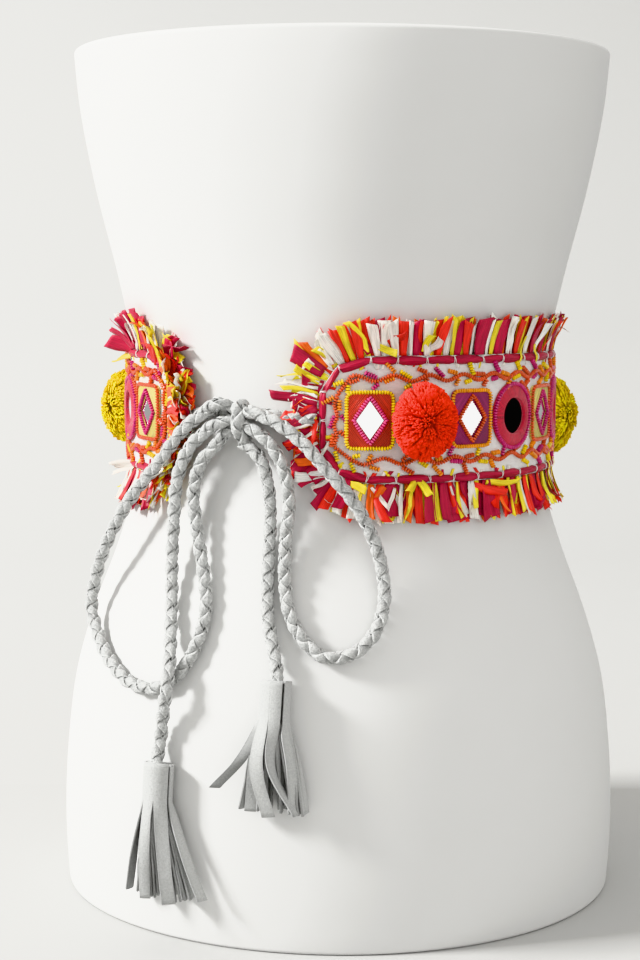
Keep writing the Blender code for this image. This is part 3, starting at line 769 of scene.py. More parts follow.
class Pile:
    """Gathers laid copies of shapes into one mesh. A point's lay is its place on its own strand."""

    def __init__(self):
        self.points = []
        self.dyes = []
        self.lays = []
        self.sizes = []
        self.corners = []
        self.slots = []
        self.count = 0

    def add(self, shape, points, dye=(1, 1, 1), lay=None, slot=0):
        """Adds copies of a shape: points are (copies, points, 3), in metres."""
        copies, size = points.shape[:2]
        dye = np.asarray(dye, float)
        if dye.ndim == 2:
            dye = dye[:, None]
        dye = np.broadcast_to(dye, points.shape)
        lay = points / MM if lay is None else np.broadcast_to(lay, points.shape)
        starts = self.count + size * np.arange(copies)
        self.points.append(points.reshape(-1, 3))
        self.dyes.append(np.clip(dye, 0, 0.95).reshape(-1, 3))
        self.lays.append(lay.reshape(-1, 3))
        self.sizes.append(np.tile(shape.sizes, copies))
        self.corners.append((starts[:, None] + shape.corners[None]).reshape(-1))
        self.slots.append(np.full(copies * len(shape.sizes), slot))
        self.count += copies * size
        return self

    def finish(self, name, *finishes, replaces=(), slot=None, wall=0.0, sharp=40.0):
        """The piece: smooth, riding on the body and standing for the solids that it replaces."""
        sizes = np.concatenate(self.sizes)
        corners = np.concatenate(self.corners)
        dyes = np.concatenate(self.dyes)
        mesh = bpy.data.meshes.new(name)
        mesh.vertices.add(self.count)
        mesh.vertices.foreach_set("co", np.concatenate(self.points).ravel())
        mesh.loops.add(len(corners))
        mesh.loops.foreach_set("vertex_index", corners.astype(np.int32))
        mesh.polygons.add(len(sizes))
        mesh.polygons.foreach_set("loop_start", np.concatenate([[0], np.cumsum(sizes)[:-1]]).astype(np.int32))
        mesh.polygons.foreach_set("loop_total", sizes.astype(np.int32))
        for finish in finishes:
            mesh.materials.append(finish)
        mesh.polygons.foreach_set("material_index", np.concatenate(self.slots).astype(np.int32))
        mesh.update(calc_edges=True)
        dye = mesh.attributes.new("dye", "FLOAT_COLOR", "POINT")
        dye.data.foreach_set("color", np.concatenate([dyes, np.ones((len(dyes), 1))], 1).ravel())
        lay = mesh.attributes.new("lay", "FLOAT_VECTOR", "POINT")
        lay.data.foreach_set("vector", np.concatenate(self.lays).ravel())
        mesh.shade_smooth()
        mesh.set_sharp_from_angle(angle=math.radians(sharp))
        piece = bpy.data.objects.new(name, mesh)
        bpy.context.scene.collection.objects.link(piece)
        if wall:
            thick = piece.modifiers.new("wall", "SOLIDIFY")
            thick.thickness = wall * MM
            thick.offset = 0.0
        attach(piece, BODY)
        if replaces:
            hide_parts(*replaces)


class Nodes:
    """A node tree, with short ways to add nodes to it."""

    def __init__(self, tree):
        self.tree = tree

    def add(self, kind, output, inputs, **settings):
        """Adds a node, and gives back the output named."""
        node = self.tree.nodes.new("ShaderNode" + kind)
        for key, value in settings.items():
            setattr(node, key, value)
        for key, value in inputs.items():
            if isinstance(value, bpy.types.NodeSocket):
                self.tree.links.new(value, node.inputs[key])
            else:
                node.inputs[key].default_value = value
        return node.outputs[output]

    def ramp(self, value, low, high, first, last):
        """Levels from first to last, as a value goes from low to high."""
        inputs = {"Value": value, "From Min": low, "From Max": high, "To Min": first, "To Max": last}
        return self.add("MapRange", "Result", inputs)

    def math(self, operation, first, second):
        return self.add("Math", "Value", {0: first, 1: second}, operation=operation)


class Finish(Nodes):
    """A Principled material."""

    def __init__(self, name, colour, roughness, **sockets):
        self.material = bpy.data.materials.new(name)
        self.material.use_nodes = True
        self.material.diffuse_color = (*colour, 1.0)
        super().__init__(self.material.node_tree)
        self.shader = self.tree.nodes["Principled BSDF"]
        self.shader.inputs["Base Color"].default_value = (*colour, 1.0)
        self.shader.inputs["Roughness"].default_value = roughness
        for key, value in sockets.items():
            socket = key.replace("_", " ").title().replace("Ior", "IOR")
            self.shader.inputs[socket].default_value = value

    def attribute(self, name, output="Color"):
        return self.add("Attribute", output, {}, attribute_name=name)

    def scaled(self, vector, scale):
        return self.add("Mapping", "Vector", {"Vector": vector, "Scale": scale})

    def object_mm(self):
        """Object coordinates in millimetres."""
        return self.scaled(self.add("TexCoord", "Object", {}), (1 / MM,) * 3)

    def noise(self, vector, scale, detail=3.0, roughness=0.55):
        inputs = {"Vector": vector, "Scale": scale, "Detail": detail, "Roughness": roughness}
        return self.add("TexNoise", "Fac", inputs)

    def rows(self, vector, gap, direction, distortion=0.0, detail=0.0):
        """Even rows with a gap in millimetres between them."""
        inputs = {"Vector": vector, "Scale": math.pi / 10 / gap, "Distortion": distortion, "Detail": detail}
        return self.add("TexWave", "Fac", inputs, bands_direction=direction)

    def lay(self):
        """Each point's place on its own strand, in millimetres."""
        return self.attribute("lay", "Vector")

    def shaded(self, shade, colour=None):
        """Colours the surface with a shade of one colour, or of each point's dye."""
        inputs = {"Fac": 1.0, "Color1": colour or self.attribute("dye"), "Color2": shade}
        product = self.add("MixRGB", "Color", inputs, blend_type="MULTIPLY")
        self.tree.links.new(product, self.shader.inputs["Base Color"])

    def bump(self, height, strength, distance):
        """Relief of a height in millimetres."""
        inputs = {"Height": height, "Strength": strength, "Distance": distance * MM}
        self.tree.links.new(self.add("Bump", "Normal", inputs), self.shader.inputs["Normal"])


def form_paint():
    """Matt white paint with a fine stipple."""
    finish = Finish("form_paint", FORM_WHITE[:3], 0.62, specular_ior_level=0.3)
    place = finish.object_mm()
    finish.shaded(finish.ramp(finish.noise(place, 0.02, 2.0), 0.3, 0.7, 0.985, 1.0), FORM_WHITE)
    finish.bump(finish.noise(place, 1.6, 4.0), 0.2, 0.05)
    return finish.material


def canvas_weave():
    """Plain weave of off-white threads, with slubs."""
    finish = Finish("canvas_weave", CANVAS_WHITE[:3], 0.9, specular_ior_level=0.2, sheen_weight=0.15)
    place = finish.lay()
    warp = finish.rows(place, CANVAS_THREAD, "X", 0.6)
    weft = finish.rows(place, CANVAS_THREAD, "Y", 0.6)
    weave = finish.math("MULTIPLY", warp, weft)
    slub = finish.noise(finish.scaled(place, (0.3, 1.4, 1.0)), 1.0, 3.0)
    threads = finish.ramp(weave, 0.0, 1.0, 0.88, 1.02)
    finish.shaded(finish.math("ADD", threads, finish.ramp(slub, 0.3, 0.7, -0.07, 0.03)), CANVAS_WHITE)
    finish.bump(weave, 0.8, 0.25)
    return finish.material


def raffia_leaf():
    """Dyed raffia: fine streaks along the strand, some brighter and some darker."""
    finish = Finish("raffia_leaf", (0.38, 0.01, 0.06), 0.46, specular_ior_level=0.45, sheen_weight=0.1)
    place = finish.lay()
    streaks = finish.noise(finish.scaled(place, (2.2, 0.11, 1.0)), 1.0, 4.0, 0.62)
    blotch = finish.noise(finish.scaled(place, (0.5, 0.10, 1.0)), 1.0, 2.0)
    fibres = finish.ramp(streaks, 0.25, 0.75, 0.62, 1.30)
    finish.shaded(finish.math("ADD", fibres, finish.ramp(blotch, 0.3, 0.7, -0.14, 0.14)))
    finish.bump(streaks, 0.9, 0.3)
    return finish.material


def glass_beads():
    """Glazed opaque glass, a little uneven in colour."""
    finish = Finish("glass_beads", CORAL, 0.2, specular_ior_level=0.55, coat_weight=0.5, coat_roughness=0.08)
    finish.shaded(finish.ramp(finish.noise(finish.lay(), 0.9, 1.0), 0.3, 0.7, 0.9, 1.12))
    return finish.material


def satin_thread():
    """Close rows of glossy thread side by side, with painted glints where threads catch the light."""
    finish = Finish("satin_thread", (0.4, 0.02, 0.02), 0.42, specular_ior_level=0.5, sheen_weight=0.25)
    place = finish.lay()
    rows = finish.rows(place, SATIN_THREAD, "X", 1.4, 2.0)
    # Painted glint: streaks painted lighter, and some darker, where single threads catch the light
    painted_glint = finish.noise(finish.scaled(place, (1.6, 0.10, 1.0)), 1.0, 3.0)
    threads = finish.ramp(rows, 0.0, 1.0, 0.62, 1.1)
    finish.shaded(finish.math("ADD", threads, finish.ramp(painted_glint, 0.3, 0.75, -0.24, 0.42)))
    finish.bump(rows, 0.9, 0.25)
    return finish.material


def mirror_glass():
    """Silvered glass, very slightly uneven."""
    finish = Finish("mirror_glass", (0.95, 0.95, 0.95), 0.015, metallic=1.0)
    finish.bump(finish.noise(finish.object_mm(), 0.1, 1.0), 0.12, 0.04)
    return finish.material


def cut_yarn():
    """Cut yarn: soft and matt, with darker and lighter fibres."""
    finish = Finish("cut_yarn", (0.8, 0.03, 0.01), 0.85, specular_ior_level=0.1, sheen_weight=0.12)
    finish.shaded(finish.ramp(finish.noise(finish.lay(), 1.4, 3.0), 0.3, 0.7, 0.78, 1.16))
    return finish.material


def suede(name, gap, contrast, relief):
    """Suede: the nap lies this way and that, over a grain with a gap in millimetres."""
    finish = Finish(name, (0.50, 0.505, 0.495), 0.95, specular_ior_level=0.15, sheen_weight=0.2)
    place = finish.object_mm()
    grain = finish.noise(place, 1 / gap, 3.0, 0.7)
    fine = finish.noise(place, 3.4, 2.0, 0.6)
    nap = finish.ramp(grain, 0.3, 0.7, 1 - contrast, 1 + contrast)
    finish.shaded(finish.math("ADD", nap, finish.ramp(fine, 0.3, 0.7, -0.08, 0.08)))
    finish.bump(grain, 1.0, relief)
    return finish.material


def light_suede():
    """The smooth side of suede, as the tassels show it."""
    return suede("light_suede", 0.9, 0.12, 0.25)


def rough_suede():
    """The flesh side of suede, as the narrow laces show it."""
    return suede("rough_suede", 1.1, 0.28, 1.1)


def couching_thread():
    """White thread of two plies."""
    finish = Finish("couching_thread", WHITE_THREAD, 0.7, sheen_weight=0.2)
    ply = finish.rows(finish.lay(), 0.5, "DIAGONAL")
    finish.shaded(finish.ramp(ply, 0.0, 1.0, 0.8, 1.0))
    finish.bump(ply, 0.6, 0.1)
    return finish.material


def shared(maker):
    """The material that a function makes, made once."""
    return bpy.data.materials.get(maker.__name__) or maker()


def make_waist_form():
    """The smooth form, closed at its top and bottom, with rounded rims."""
    curve = FORM_RIM_ROUND * (1 - np.cos(np.linspace(0, math.pi / 2, 6)))[:-1]
    side = np.linspace(FORM_RIM_ROUND, FORM_HEIGHT - FORM_RIM_ROUND, 60)
    heights = np.concatenate([curve, side, FORM_HEIGHT - curve[::-1]])
    edge = np.minimum(heights, FORM_HEIGHT - heights)
    inset = FORM_RIM_ROUND - np.sqrt(np.maximum(0, 2 * FORM_RIM_ROUND * edge - edge**2))
    inset = np.where(edge < FORM_RIM_ROUND, inset, 0.0)
    shape = tube_shape(192, len(heights))
    row = shape.ring(len(heights))
    azimuth = np.degrees(np.arctan2(shape.points[:, 0], -shape.points[:, 1]))
    pile = Pile().add(shape, form_places(azimuth, heights[row], -inset[row])[None])
    pile.finish("display_form", shared(form_paint), replaces=["waist_form"], slot="form_white")


def make_canvas():
    """The band: a stretched strip, a little puckered along its edges."""
    rng = np.random.default_rng(3)
    shape = strip_shape(260, 14)
    along = (shape.points[:, 0] + 0.5) * BAND_LENGTH
    share = 2 * shape.points[:, 1] - 1
    rise = share * half_rise(along)
    phases = rng.uniform(0, math.tau, len(PUCKER_GAPS))
    pucker = sum(np.sin(along / gap + phase) for gap, phase in zip(PUCKER_GAPS, phases)) / len(PUCKER_GAPS)
    out = CANVAS_OUT + pucker * (0.12 + 0.25 * share**4)
    pile = Pile().add(shape, belt_places(along, rise, out)[None], lay=stacked(along, rise, 0.0)[None])
    finish = shared(canvas_weave)
    pile.finish("canvas_band", finish, replaces=["belt_band"], slot="canvas", wall=CANVAS_WALL)


def strand_dyes(dyes, letters, rng):
    """A dye for each strand by its letter, some paler and some deeper."""
    colours = np.array([getattr(dyes, STRAND_DYES[letter.upper()]) for letter in letters])
    return colours * rng.uniform(0.82, 1.12, (len(letters), 1))


def lay_strands(pile, dyes, letters, roots, ways, length, out, lean, crumple, rng, scale=1.0):
    """Flat strands from roots on the band: each as broad as its letter says, and bent as it is crumpled."""
    shape = strip_shape(4, 9)
    u, v, _ = shape.points.T[:, None]
    count = len(letters)
    near, far = np.array([STRAND_WIDTHS[letter] for letter in letters]).T[:, :, None]
    measures = (length, out, lean, crumple)
    length, out, lean, crumple = (np.broadcast_to(measure, count)[:, None] for measure in measures)
    phase = rng.uniform(0, math.tau, (3, count, 1))
    tilt, kink, twist, curl, cut = rng.normal(0, 1, (5, count, 1))
    hinge = rng.uniform(0.3, 0.6, (count, 1))
    fold = rng.uniform(-1, 1, (count, 1))
    wave = 0.12 + 0.7 * crumple
    breadth = near + (far - near) * np.minimum(1, v * 1.7) ** 0.8
    breadth = breadth * (1 + 0.08 * np.sin(5 * v + phase[0])) * scale
    turn = twist * (0.2 + 1.2 * crumple) * v**1.3
    sway = tilt * (0.04 + 0.2 * crumple) * v + kink * (0.05 + 0.5 * crumple) * np.maximum(0, v - hinge)
    across = u * breadth
    gutter = fold * breadth * 0.15 * np.cos(math.tau * u * 1.1 + phase[2])
    lifted = np.maximum(0, v - 0.62) ** 2
    curl = 0.15 + curl * (0.2 + 0.9 * crumple)
    reach = length * v * (1 + 0.1 * cut * u * v**4) - np.abs(curl) * length * lifted
    shift = length * sway + wave * np.sin(5.5 * v + phase[1]) + across * np.cos(turn) - gutter * np.sin(turn)
    along, rise = beside_edge(roots, ways, reach, shift)
    off = out + lean * v**1.4 + across * np.sin(turn) + gutter * np.cos(turn) + curl * 8 * lifted
    off = np.maximum(off + wave * 0.4 * np.sin(9 * v + phase[0]), 0.1)
    own = roots.sum(1)[:, None]
    lay = stacked(across + own * 3.1, v * length + own * 7.7, own)
    pile.add(shape, belt_places(along, rise, off), strand_dyes(dyes, letters, rng), lay)


def strand_order(name, span, rng):
    """The letters of a side's front row, and a place along the side for each by its breadth."""
    letters = list(FRONT_STRANDS[name])
    while sum(STRAND_WIDTHS[letter][1] for letter in letters) * STRAND_LAP < span:
        letters.append(str(rng.choice(list(OTHER_STRANDS))))
    broad = np.array([STRAND_WIDTHS[letter][1] for letter in letters]) * STRAND_LAP
    return letters, np.minimum(np.cumsum(broad) - broad / 2, span)


def fringe_rows(name, low, high, density, rng):
    """Rows of strands for a side: letters, places along the edge, then a row of FRINGE_ROWS."""
    count = round((high - low) * density)
    letters = rng.choice(list(OTHER_STRANDS), count)
    places = low + (np.arange(count) + rng.uniform(0.1, 0.9, count)) / count * (high - low)
    rows = [(letters, places, *FRINGE_ROWS["behind"])]
    if FRONT_STRANDS[name]:
        letters, places = strand_order(name, high - low, rng)
        places = high - places if name == "bottom" else low + places
        rows.append((letters[::2], places[::2], *FRINGE_ROWS["front"]))
        rows.append((letters[1::2], places[1::2], *FRINGE_ROWS["upper"]))
    if name == "end_left":
        letters = rng.choice(list(BUSH_STRANDS), BUSH_COUNT)
        places = rng.uniform(low - BUSH_SPARE, high + BUSH_SPARE, BUSH_COUNT)
        rows.append((letters, places, *FRINGE_ROWS["bush"]))
    return rows


def make_fringe(name, dyes, seed):
    """Raffia strands along one side of the band: some behind its binding, a row in order, and some apart."""
    crumpled, reach, lean, density, breadth = FRINGES[name]
    low, high = side_span(name)
    rng = np.random.default_rng(seed)
    pile = Pile()
    for letters, places, out, steep, long in fringe_rows(name, low, high, density, rng):
        count = len(letters)
        roots, ways = edge_places(places)
        if out > BINDING_LIFT:
            roots = roots - ways * BUSH_INSET
        messy = crumpled + np.interp(BAND_LENGTH - roots[:, 0], *WILD_END)
        crumple = (rng.random(count) < messy) * rng.uniform(0.3, 1.0, count)
        lift = lean * steep * (rng.uniform(0.8, 1.1, count) + crumple * rng.uniform(-0.2, 0.8, count))
        length = reach * long * rng.uniform(0.93, 1.05, count) * (1 - 0.16 * crumple * rng.random(count))
        out = out + rng.uniform(-0.25, 0.25, count)
        lay_strands(pile, dyes, letters, roots, ways, length, out, lift, crumple, rng, breadth)
    if PLACED_STRANDS[name]:
        letters, *numbers = zip(*PLACED_STRANDS[name])
        numbers = np.array(numbers)
        roots = numbers[:2].T
        ways = numbers[2:4].T - roots
        length = np.linalg.norm(ways, axis=1)
        lean = numbers[4] - PLACED_LIFT
        lay_strands(pile, dyes, letters, roots, unit(ways), length, PLACED_LIFT, lean, numbers[5], rng)
    add_stubs(pile, dyes, rng, low, high - low, crumpled)
    node = "fringe_" + name
    leaf = shared(raffia_leaf)
    pile.finish("raffia_" + node, leaf, replaces=[node], slot="raffia", wall=STRAND_WALL, sharp=70)


def add_stubs(pile, dyes, rng, low, span, crumpled):
    """Short ends that come out under the binding's inner side, and some strands that pass over it."""
    shape = strip_shape(2, 8)
    u, v, _ = shape.points.T[:, None]
    stubs = round(span / STUB_GAP)
    count = stubs + round(span * (0.006 + 0.03 * crumpled))
    at = low + rng.uniform(0, span, count)
    passing = (np.arange(count) >= stubs)[:, None]
    point, normal = edge_places(at)
    width = rng.uniform(1.1, 2.3, (count, 1))
    far = np.where(passing, rng.uniform(4.0, 12.0, (count, 1)), -3.0)
    near = np.where(passing, -5.4, -5.2 - rng.uniform(0, 1.6, (count, 1)))
    reach = near + (far - near) * v
    slant = rng.normal(0, 0.5, (count, 1))
    shift = slant * (reach + 3) + u * width
    hump = np.exp(-((reach + 2.4) / 3.2) ** 2)
    out = np.where(passing, 2.3 + 2.2 * hump + 2.4 * np.maximum(0, reach / 8), 2.15 + 0.25 * v)
    along, rise = beside_edge(point, normal, reach, shift)
    own = at[:, None]
    lay = stacked(shift + 5 * own, reach + 9 * own, own)
    letters = rng.choice(list(STUB_STRANDS), count)
    pile.add(shape, belt_places(along, rise, out), strand_dyes(dyes, letters, rng), lay)


def stitch_places(name, sizes, rng):
    """Where the couching stitches cross a stretch of the binding, as distances along the band's outline."""
    low, high = side_span(name)
    span = high - low
    if name.startswith("end"):
        return low + np.linspace(0, span, 5)
    count = int(span / sizes.stitch_step)
    return low + (np.arange(count) + 1 + rng.uniform(-0.1, 0.1, count)) * span / (count + 1)


def make_binding(name, sizes, dyes, seed):
    """Raffia laid along the edge in two ribbons, gathered where the couching stitches cross it."""
    rng = np.random.default_rng(seed)
    low, high = side_span(name)
    length = high - low
    stitches = stitch_places(name, sizes, rng)
    shape = strip_shape(7, int(length / 1.5))
    u = shape.points[:, 0]
    at = low + shape.points[:, 1] * length
    point, normal = edge_places(at)
    gap = np.abs(at[:, None] - stitches[None]).min(1)
    gather = 1 - 0.4 * np.exp(-(gap / 1.8) ** 2)
    crown = 0.9 * gather * (1 - (2 * u) ** 2)
    full = BINDING_WIDTHS[name]
    pile = Pile()
    for layer, (share, lift, tone_and_shade) in enumerate(BINDING_RIBBONS):
        wander = 0.28 * np.sin(at / 7.3 + layer * 2 + seed) + 0.16 * np.sin(at / 3.1 + seed)
        across = u * full * share * gather * (1 + 0.12 * np.sin(at / 4.7 + seed))
        inset = full / 2 + BINDING_MARGIN + wander * (0.5 + layer) - across
        along, rise = (point - normal * inset[:, None]).T
        ridges = 0.16 * np.sin(u * 30 + at * 0.35 + layer)
        out = lift + crown + ridges - 0.4 * (1 - gather)
        lay = stacked(across * 1.2 + 40 * layer, at, 0.0)
        # Painted shade: the lower, wider ribbon is darker than the upper one
        dye = np.array(dyes.burgundy) * tone_and_shade
        pile.add(shape, belt_places(along, rise, out)[None], dye, lay[None])
    node = "binding_" + name
    pile.finish("raffia_" + node, shared(raffia_leaf), replaces=[node], slot="raffia", wall=BINDING_WALL)
    make_stitches(name, stitches, full, rng)


def make_stitches(name, stitches, width, rng):
    """White thread over the binding, two turns at each place that part like a V."""
    shape = tube_shape(6, 10)
    x, y, share = shape.points.T
    centres = np.repeat(stitches, 2) + np.tile([-0.3, 0.3], len(stitches))
    slant = np.repeat(rng.uniform(-0.3, 0.3, len(stitches)), 2) + np.tile([-0.14, 0.14], len(stitches))
    arch = math.pi * share
    point, normal = edge_places(centres)
    middle = width / 2 + BINDING_MARGIN
    reach = middle + (width * 0.36 + 0.3) * np.cos(arch)
    inset = reach + COUCHING_THICK * x * np.cos(arch)
    out = 1.9 + 1.7 * np.sin(arch) ** 0.7 + COUCHING_THICK * x * np.sin(arch)
    shift = slant[:, None] * (reach[None] - middle) + COUCHING_THICK * y[None]
    along, rise = beside_edge(point, normal, -inset[None], shift)
    pile = Pile().add(shape, belt_places(along, rise, out), WHITE_THREAD, stacked(x, share * 7, shift))
    pile.finish("couching_" + name, shared(couching_thread), slot="canvas")


def rounded(half_width, half_height, power):
    """A closed outline between a diamond, at power 1, and a rectangle, at a high power."""
    angles = math.tau * np.arange(OUTLINE_POINTS) / OUTLINE_POINTS
    cosine = np.cos(angles)
    sine = np.sin(angles)
    radius = (np.abs(cosine / half_width) ** power + np.abs(sine / half_height) ** power) ** (-1 / power)
    return stacked(cosine * radius, sine * radius)


SQUARE_LEVELS = (
    # outline, distance out
    (rounded(12.0, 14.5, 9), 2.2),
    (rounded(12.0, 14.5, 9), 3.0),
    (rounded(10.8, 13.3, 8), 3.4),
    (rounded(9.6, 12.6, 1.9), 3.5),
    (rounded(8.2, 11.2, 1.05), 3.45),
    (rounded(7.1, 9.9, 1.02), 3.1),
    (rounded(6.8, 9.5, 1.02), 2.5),
)
SQUARE_RIM = rounded(11.4, 13.9, 9)
DIAMOND_RIM = rounded(7.8, 11.3, 1.08)
RING_LEVELS = (
    # outline, distance out
    (rounded(15.0, 17.2, 2), 2.2),
    (rounded(15.0, 17.2, 2), 2.9),
    (rounded(13.4, 15.6, 2), 3.4),
    (rounded(11.6, 13.4, 2), 4.2),
    (rounded(9.9, 11.1, 2), 4.6),
    (rounded(8.5, 9.5, 2), 4.3),
    (rounded(8.1, 9.1, 2), 3.4),
    (rounded(8.0, 9.0, 2), 2.4),
)
RING_RIM = rounded(14.1, 16.3, 2)


def string_beads(pile, shape, sizes, path, out, colour, rng, closed=False, slot=0, scale=1.0):
    """Beads along a path on the band, nose to tail."""
    places, headings = spaced(path, sizes.bead_pitch, closed)
    count = len(places)
    uneven = rng.normal(1.0, 0.04, (count, 3)) * scale
    long = sizes.bead_pitch * BEAD_SHARE / scale
    local = shape.points[None] * uneven[:, None] * (long, sizes.bead_across, sizes.bead_across)
    x, y = turned(headings, rng.normal(0, 0.07, count)).T[:, :, None]
    along = places[:, :1] + x * local[..., 0] - y * local[..., 1]
    rise = places[:, 1:] + y * local[..., 0] + x * local[..., 1]
    off = out + rng.uniform(-0.06, 0.1, (count, 1)) + local[..., 2]
    dye = rng.uniform(0.8, 1.14, (count, 1)) * np.asarray(colour)
    pile.add(shape, belt_places(along, rise, off), dye, slot=slot)


def lay_pad(pile, shape, along, levels, dye, quartered):
    """A pad on the band, through outlines at distances out, with threads in quarters or straight out."""
    sides = len(levels[0][0])
    row = shape.ring(len(levels))
    column = np.round(shape.turn() / math.tau * sides).astype(int) % sides
    planar = np.array([outline for outline, _ in levels])[row, column]
    out = np.array([level for _, level in levels])[row]
    if quartered:
        across = np.abs(planar[:, 0]) * 0.81 + np.abs(planar[:, 1]) * 0.59
        lay = stacked(across, planar[:, 1], out)
        # Painted light and shade: the upper left quarter is painted lighter and the lower right quarter
        # darker, as the lamp from the upper left lights them
        painted_quarter_light = 1 + 0.12 * (np.sign(planar[:, 1]) - np.sign(planar[:, 0]))
        dye = np.asarray(dye) * painted_quarter_light[None, :, None]
    else:
        lay = stacked(np.arctan2(planar[:, 1], planar[:, 0]) * 12, np.hypot(*planar.T), out)
    pile.add(shape, belt_places(along + planar[:, 0], planar[:, 1], out)[None], dye, lay[None])


def make_square_patch(number, along, colour, sizes, rng, bead, pad):
    """A satin square with a row of beads round it and another round its diamond mirror."""
    satin, framing, diamond = PATCH_COLOURS[colour]
    pile = Pile()
    lay_pad(pile, pad, along, SQUARE_LEVELS, satin, quartered=True)
    for outline, out, beads in ((SQUARE_RIM, 3.55, framing), (DIAMOND_RIM, 4.0, diamond)):
        string_beads(pile, bead, sizes, outline + (along, 0), out, beads, rng, closed=True, slot=1)
    finish_patch(pile, f"patch_square_{number:02d}", colour)


def make_ring_patch(number, along, sizes, rng, bead, pad):
    """A padded satin ring in a row of beads, with one more short row at its top right."""
    pile = Pile()
    lay_pad(pile, pad, along, RING_LEVELS, RING_SATIN, quartered=False)
    string_beads(pile, bead, sizes, RING_RIM + (along, 0), 3.5, MAGENTA, rng, closed=True, slot=1)
    corner = np.radians(np.linspace(28, 66, 8))
    extra = stacked(along + 16.2 * np.cos(corner), 18.4 * np.sin(corner))
    string_beads(pile, bead, sizes, extra, 3.0, CORAL, rng, slot=1)
    finish_patch(pile, f"patch_ring_{number:02d}", "red")


def finish_patch(pile, node, colour):
    pile.finish(
        "satin_" + node, shared(satin_thread), shared(glass_beads), replaces=[node], slot="satin_" + colour
    )


def make_mirror(number, kind, along):
    """A flat mirror in its patch's seat."""
    name, half_width, half_height, sides = MIRRORS[kind]
    shape = tube_shape(sides, 2)
    turn = math.radians(np.interp(along, LENGTHS, AZIMUTHS))
    right = unit(np.array([BAND_HALF_WIDTH * math.cos(turn), BAND_HALF_DEPTH * math.sin(turn), 0]))
    ahead = np.array([right[1], -right[0], 0])
    up = np.array([0, 0, 1])
    x, z, out = shape.points.T[:, :, None]
    local = x * half_width * right + out * MIRROR_THICK * ahead + z * half_height * up
    pile = Pile().add(shape, (belt_places(along, 0.0, MIRROR_SEAT) + local * MM)[None])
    node = f"mirror_{name}_{number:02d}"
    pile.finish("shisha_" + node, shared(mirror_glass), replaces=[node], slot="mirror_glass", sharp=20)


def ball_places(radius, spread, turn):
    """Places by distance from a ball's middle, angle from straight out, and turn round that."""
    return stacked(
        radius * np.sin(spread) * np.cos(turn),
        radius * np.sin(spread) * np.sin(turn),
        radius * np.cos(spread),
    )


def yarn_directions(count, rng):
    """Which way the cut ends point, spread evenly from the front but drawn into locks, and their locks."""
    index = np.arange(count)
    spread = np.arccos(0.996 - 1.516 * (index + 0.5) / count) + rng.normal(0, 0.03, count)
    turn = index * math.pi * (3 - math.sqrt(5)) + rng.normal(0, 0.04, count)
    ends = ball_places(1.0, spread, turn)
    locks = rng.normal(0, 1, (POMPOM_LOCKS, 3))
    locks[:, 2] = np.abs(locks[:, 2]) - 0.3
    locks = unit(locks)
    lock = (ends @ locks.T).argmax(1)
    return unit(ends * 0.82 + locks[lock] * 0.18), lock


def make_pompom(number, along, colour, sizes, seed):
    """Cut yarn tied in the middle: the fibres part at the front and bend out to a trimmed ball."""
    rng = np.random.default_rng(seed)
    drop = POMPOM_DROPS[number]
    reach = np.array([POMPOM_REACH, POMPOM_HALF_HEIGHT + drop / 3.2, POMPOM_REACH])
    count = sizes.yarn_ends
    ends, lock = yarn_directions(count, rng)
    spread = np.arccos(np.clip(ends[:, 2], -1, 1))[:, None]
    turn = np.arctan2(ends[:, 1], ends[:, 0])[:, None]
    long = rng.uniform(0.955, 1.02, (count, 1)) * (1 + rng.normal(0, 0.028, POMPOM_LOCKS)[lock][:, None])
    long = long * (1 - 0.10 * np.exp(-((spread / 0.30) ** 2)))
    shape = tube_shape(3, 5)
    x, y, share = shape.points.T[:, None]
    swirl = turn + rng.normal(0, 0.10, (count, 1)) * (1 - share)
    local = ball_places(long * (0.52 + 0.48 * share), spread * (0.50 + 0.50 * share**0.8), swirl) * reach
    beside = unit(np.cross(ends, [0.3, 0.8, 0.5]))
    other = np.cross(ends, beside)
    thick = rng.uniform(0.34, 0.5, (count, 1)) * (0.8 + 0.3 * share)
    local = local + beside[:, None] * (thick * x)[..., None] + other[:, None] * (thick * y)[..., None]
    tone_and_shade = rng.uniform(0.78, 1.14, (count, 1)) * rng.uniform(0.85, 1.1, POMPOM_LOCKS)[lock][:, None]
    yarn, deep_shade = YARNS[colour]
    yarn = np.array(yarn)
    # Painted shade: each fibre is painted darker towards its root, deep inside the ball
    tone_and_shade = tone_and_shade * (deep_shade + (1.14 - deep_shade) * share**1.3)
    core = ball_shape(0.80)
    pile = Pile()
    # The core ball is painted dark, as the shade deep inside the yarn
    for part, points, dye in (
        (shape, local, yarn * tone_and_shade[..., None]),
        (core, core.points[None] * reach * (1, 1, 0.86), yarn * 0.42),
    ):
        aside, rise, out = np.moveaxis(points, -1, 0)
        pile.add(part, belt_places(along + aside, rise - drop, POMPOM_OUT + out), dye)
    node = f"pompom_{number:02d}"
    pile.finish("yarn_" + node, shared(cut_yarn), replaces=[node], slot="yarn_" + colour, sharp=60)


def vine_path():
    """A wavy line round the band, inside its binding: right along the bottom and back along the top."""
    start = 8.0
    stop = BAND_LENGTH - start
    level = 20.2
    corner = 7.5
    swing = 1.5
    wave = 18.6
    way = np.arange(start + corner, stop - corner, 1.0)
    back = way[::-1]
    lower = stacked(way, -level - swing * np.sin(way * math.tau / wave + 0.4))
    upper = stacked(back, level + 0.4 + swing * np.sin(back * math.tau / wave + 2.0))
    side = np.linspace(-1, 1, 28)
    bulge = 0.8 * np.sin(side * 8.0)
    left = stacked(stop + bulge, side * (level - corner))
    right = stacked(start - bulge, -side * (level - corner))
    return np.concatenate([lower, left, upper, right])


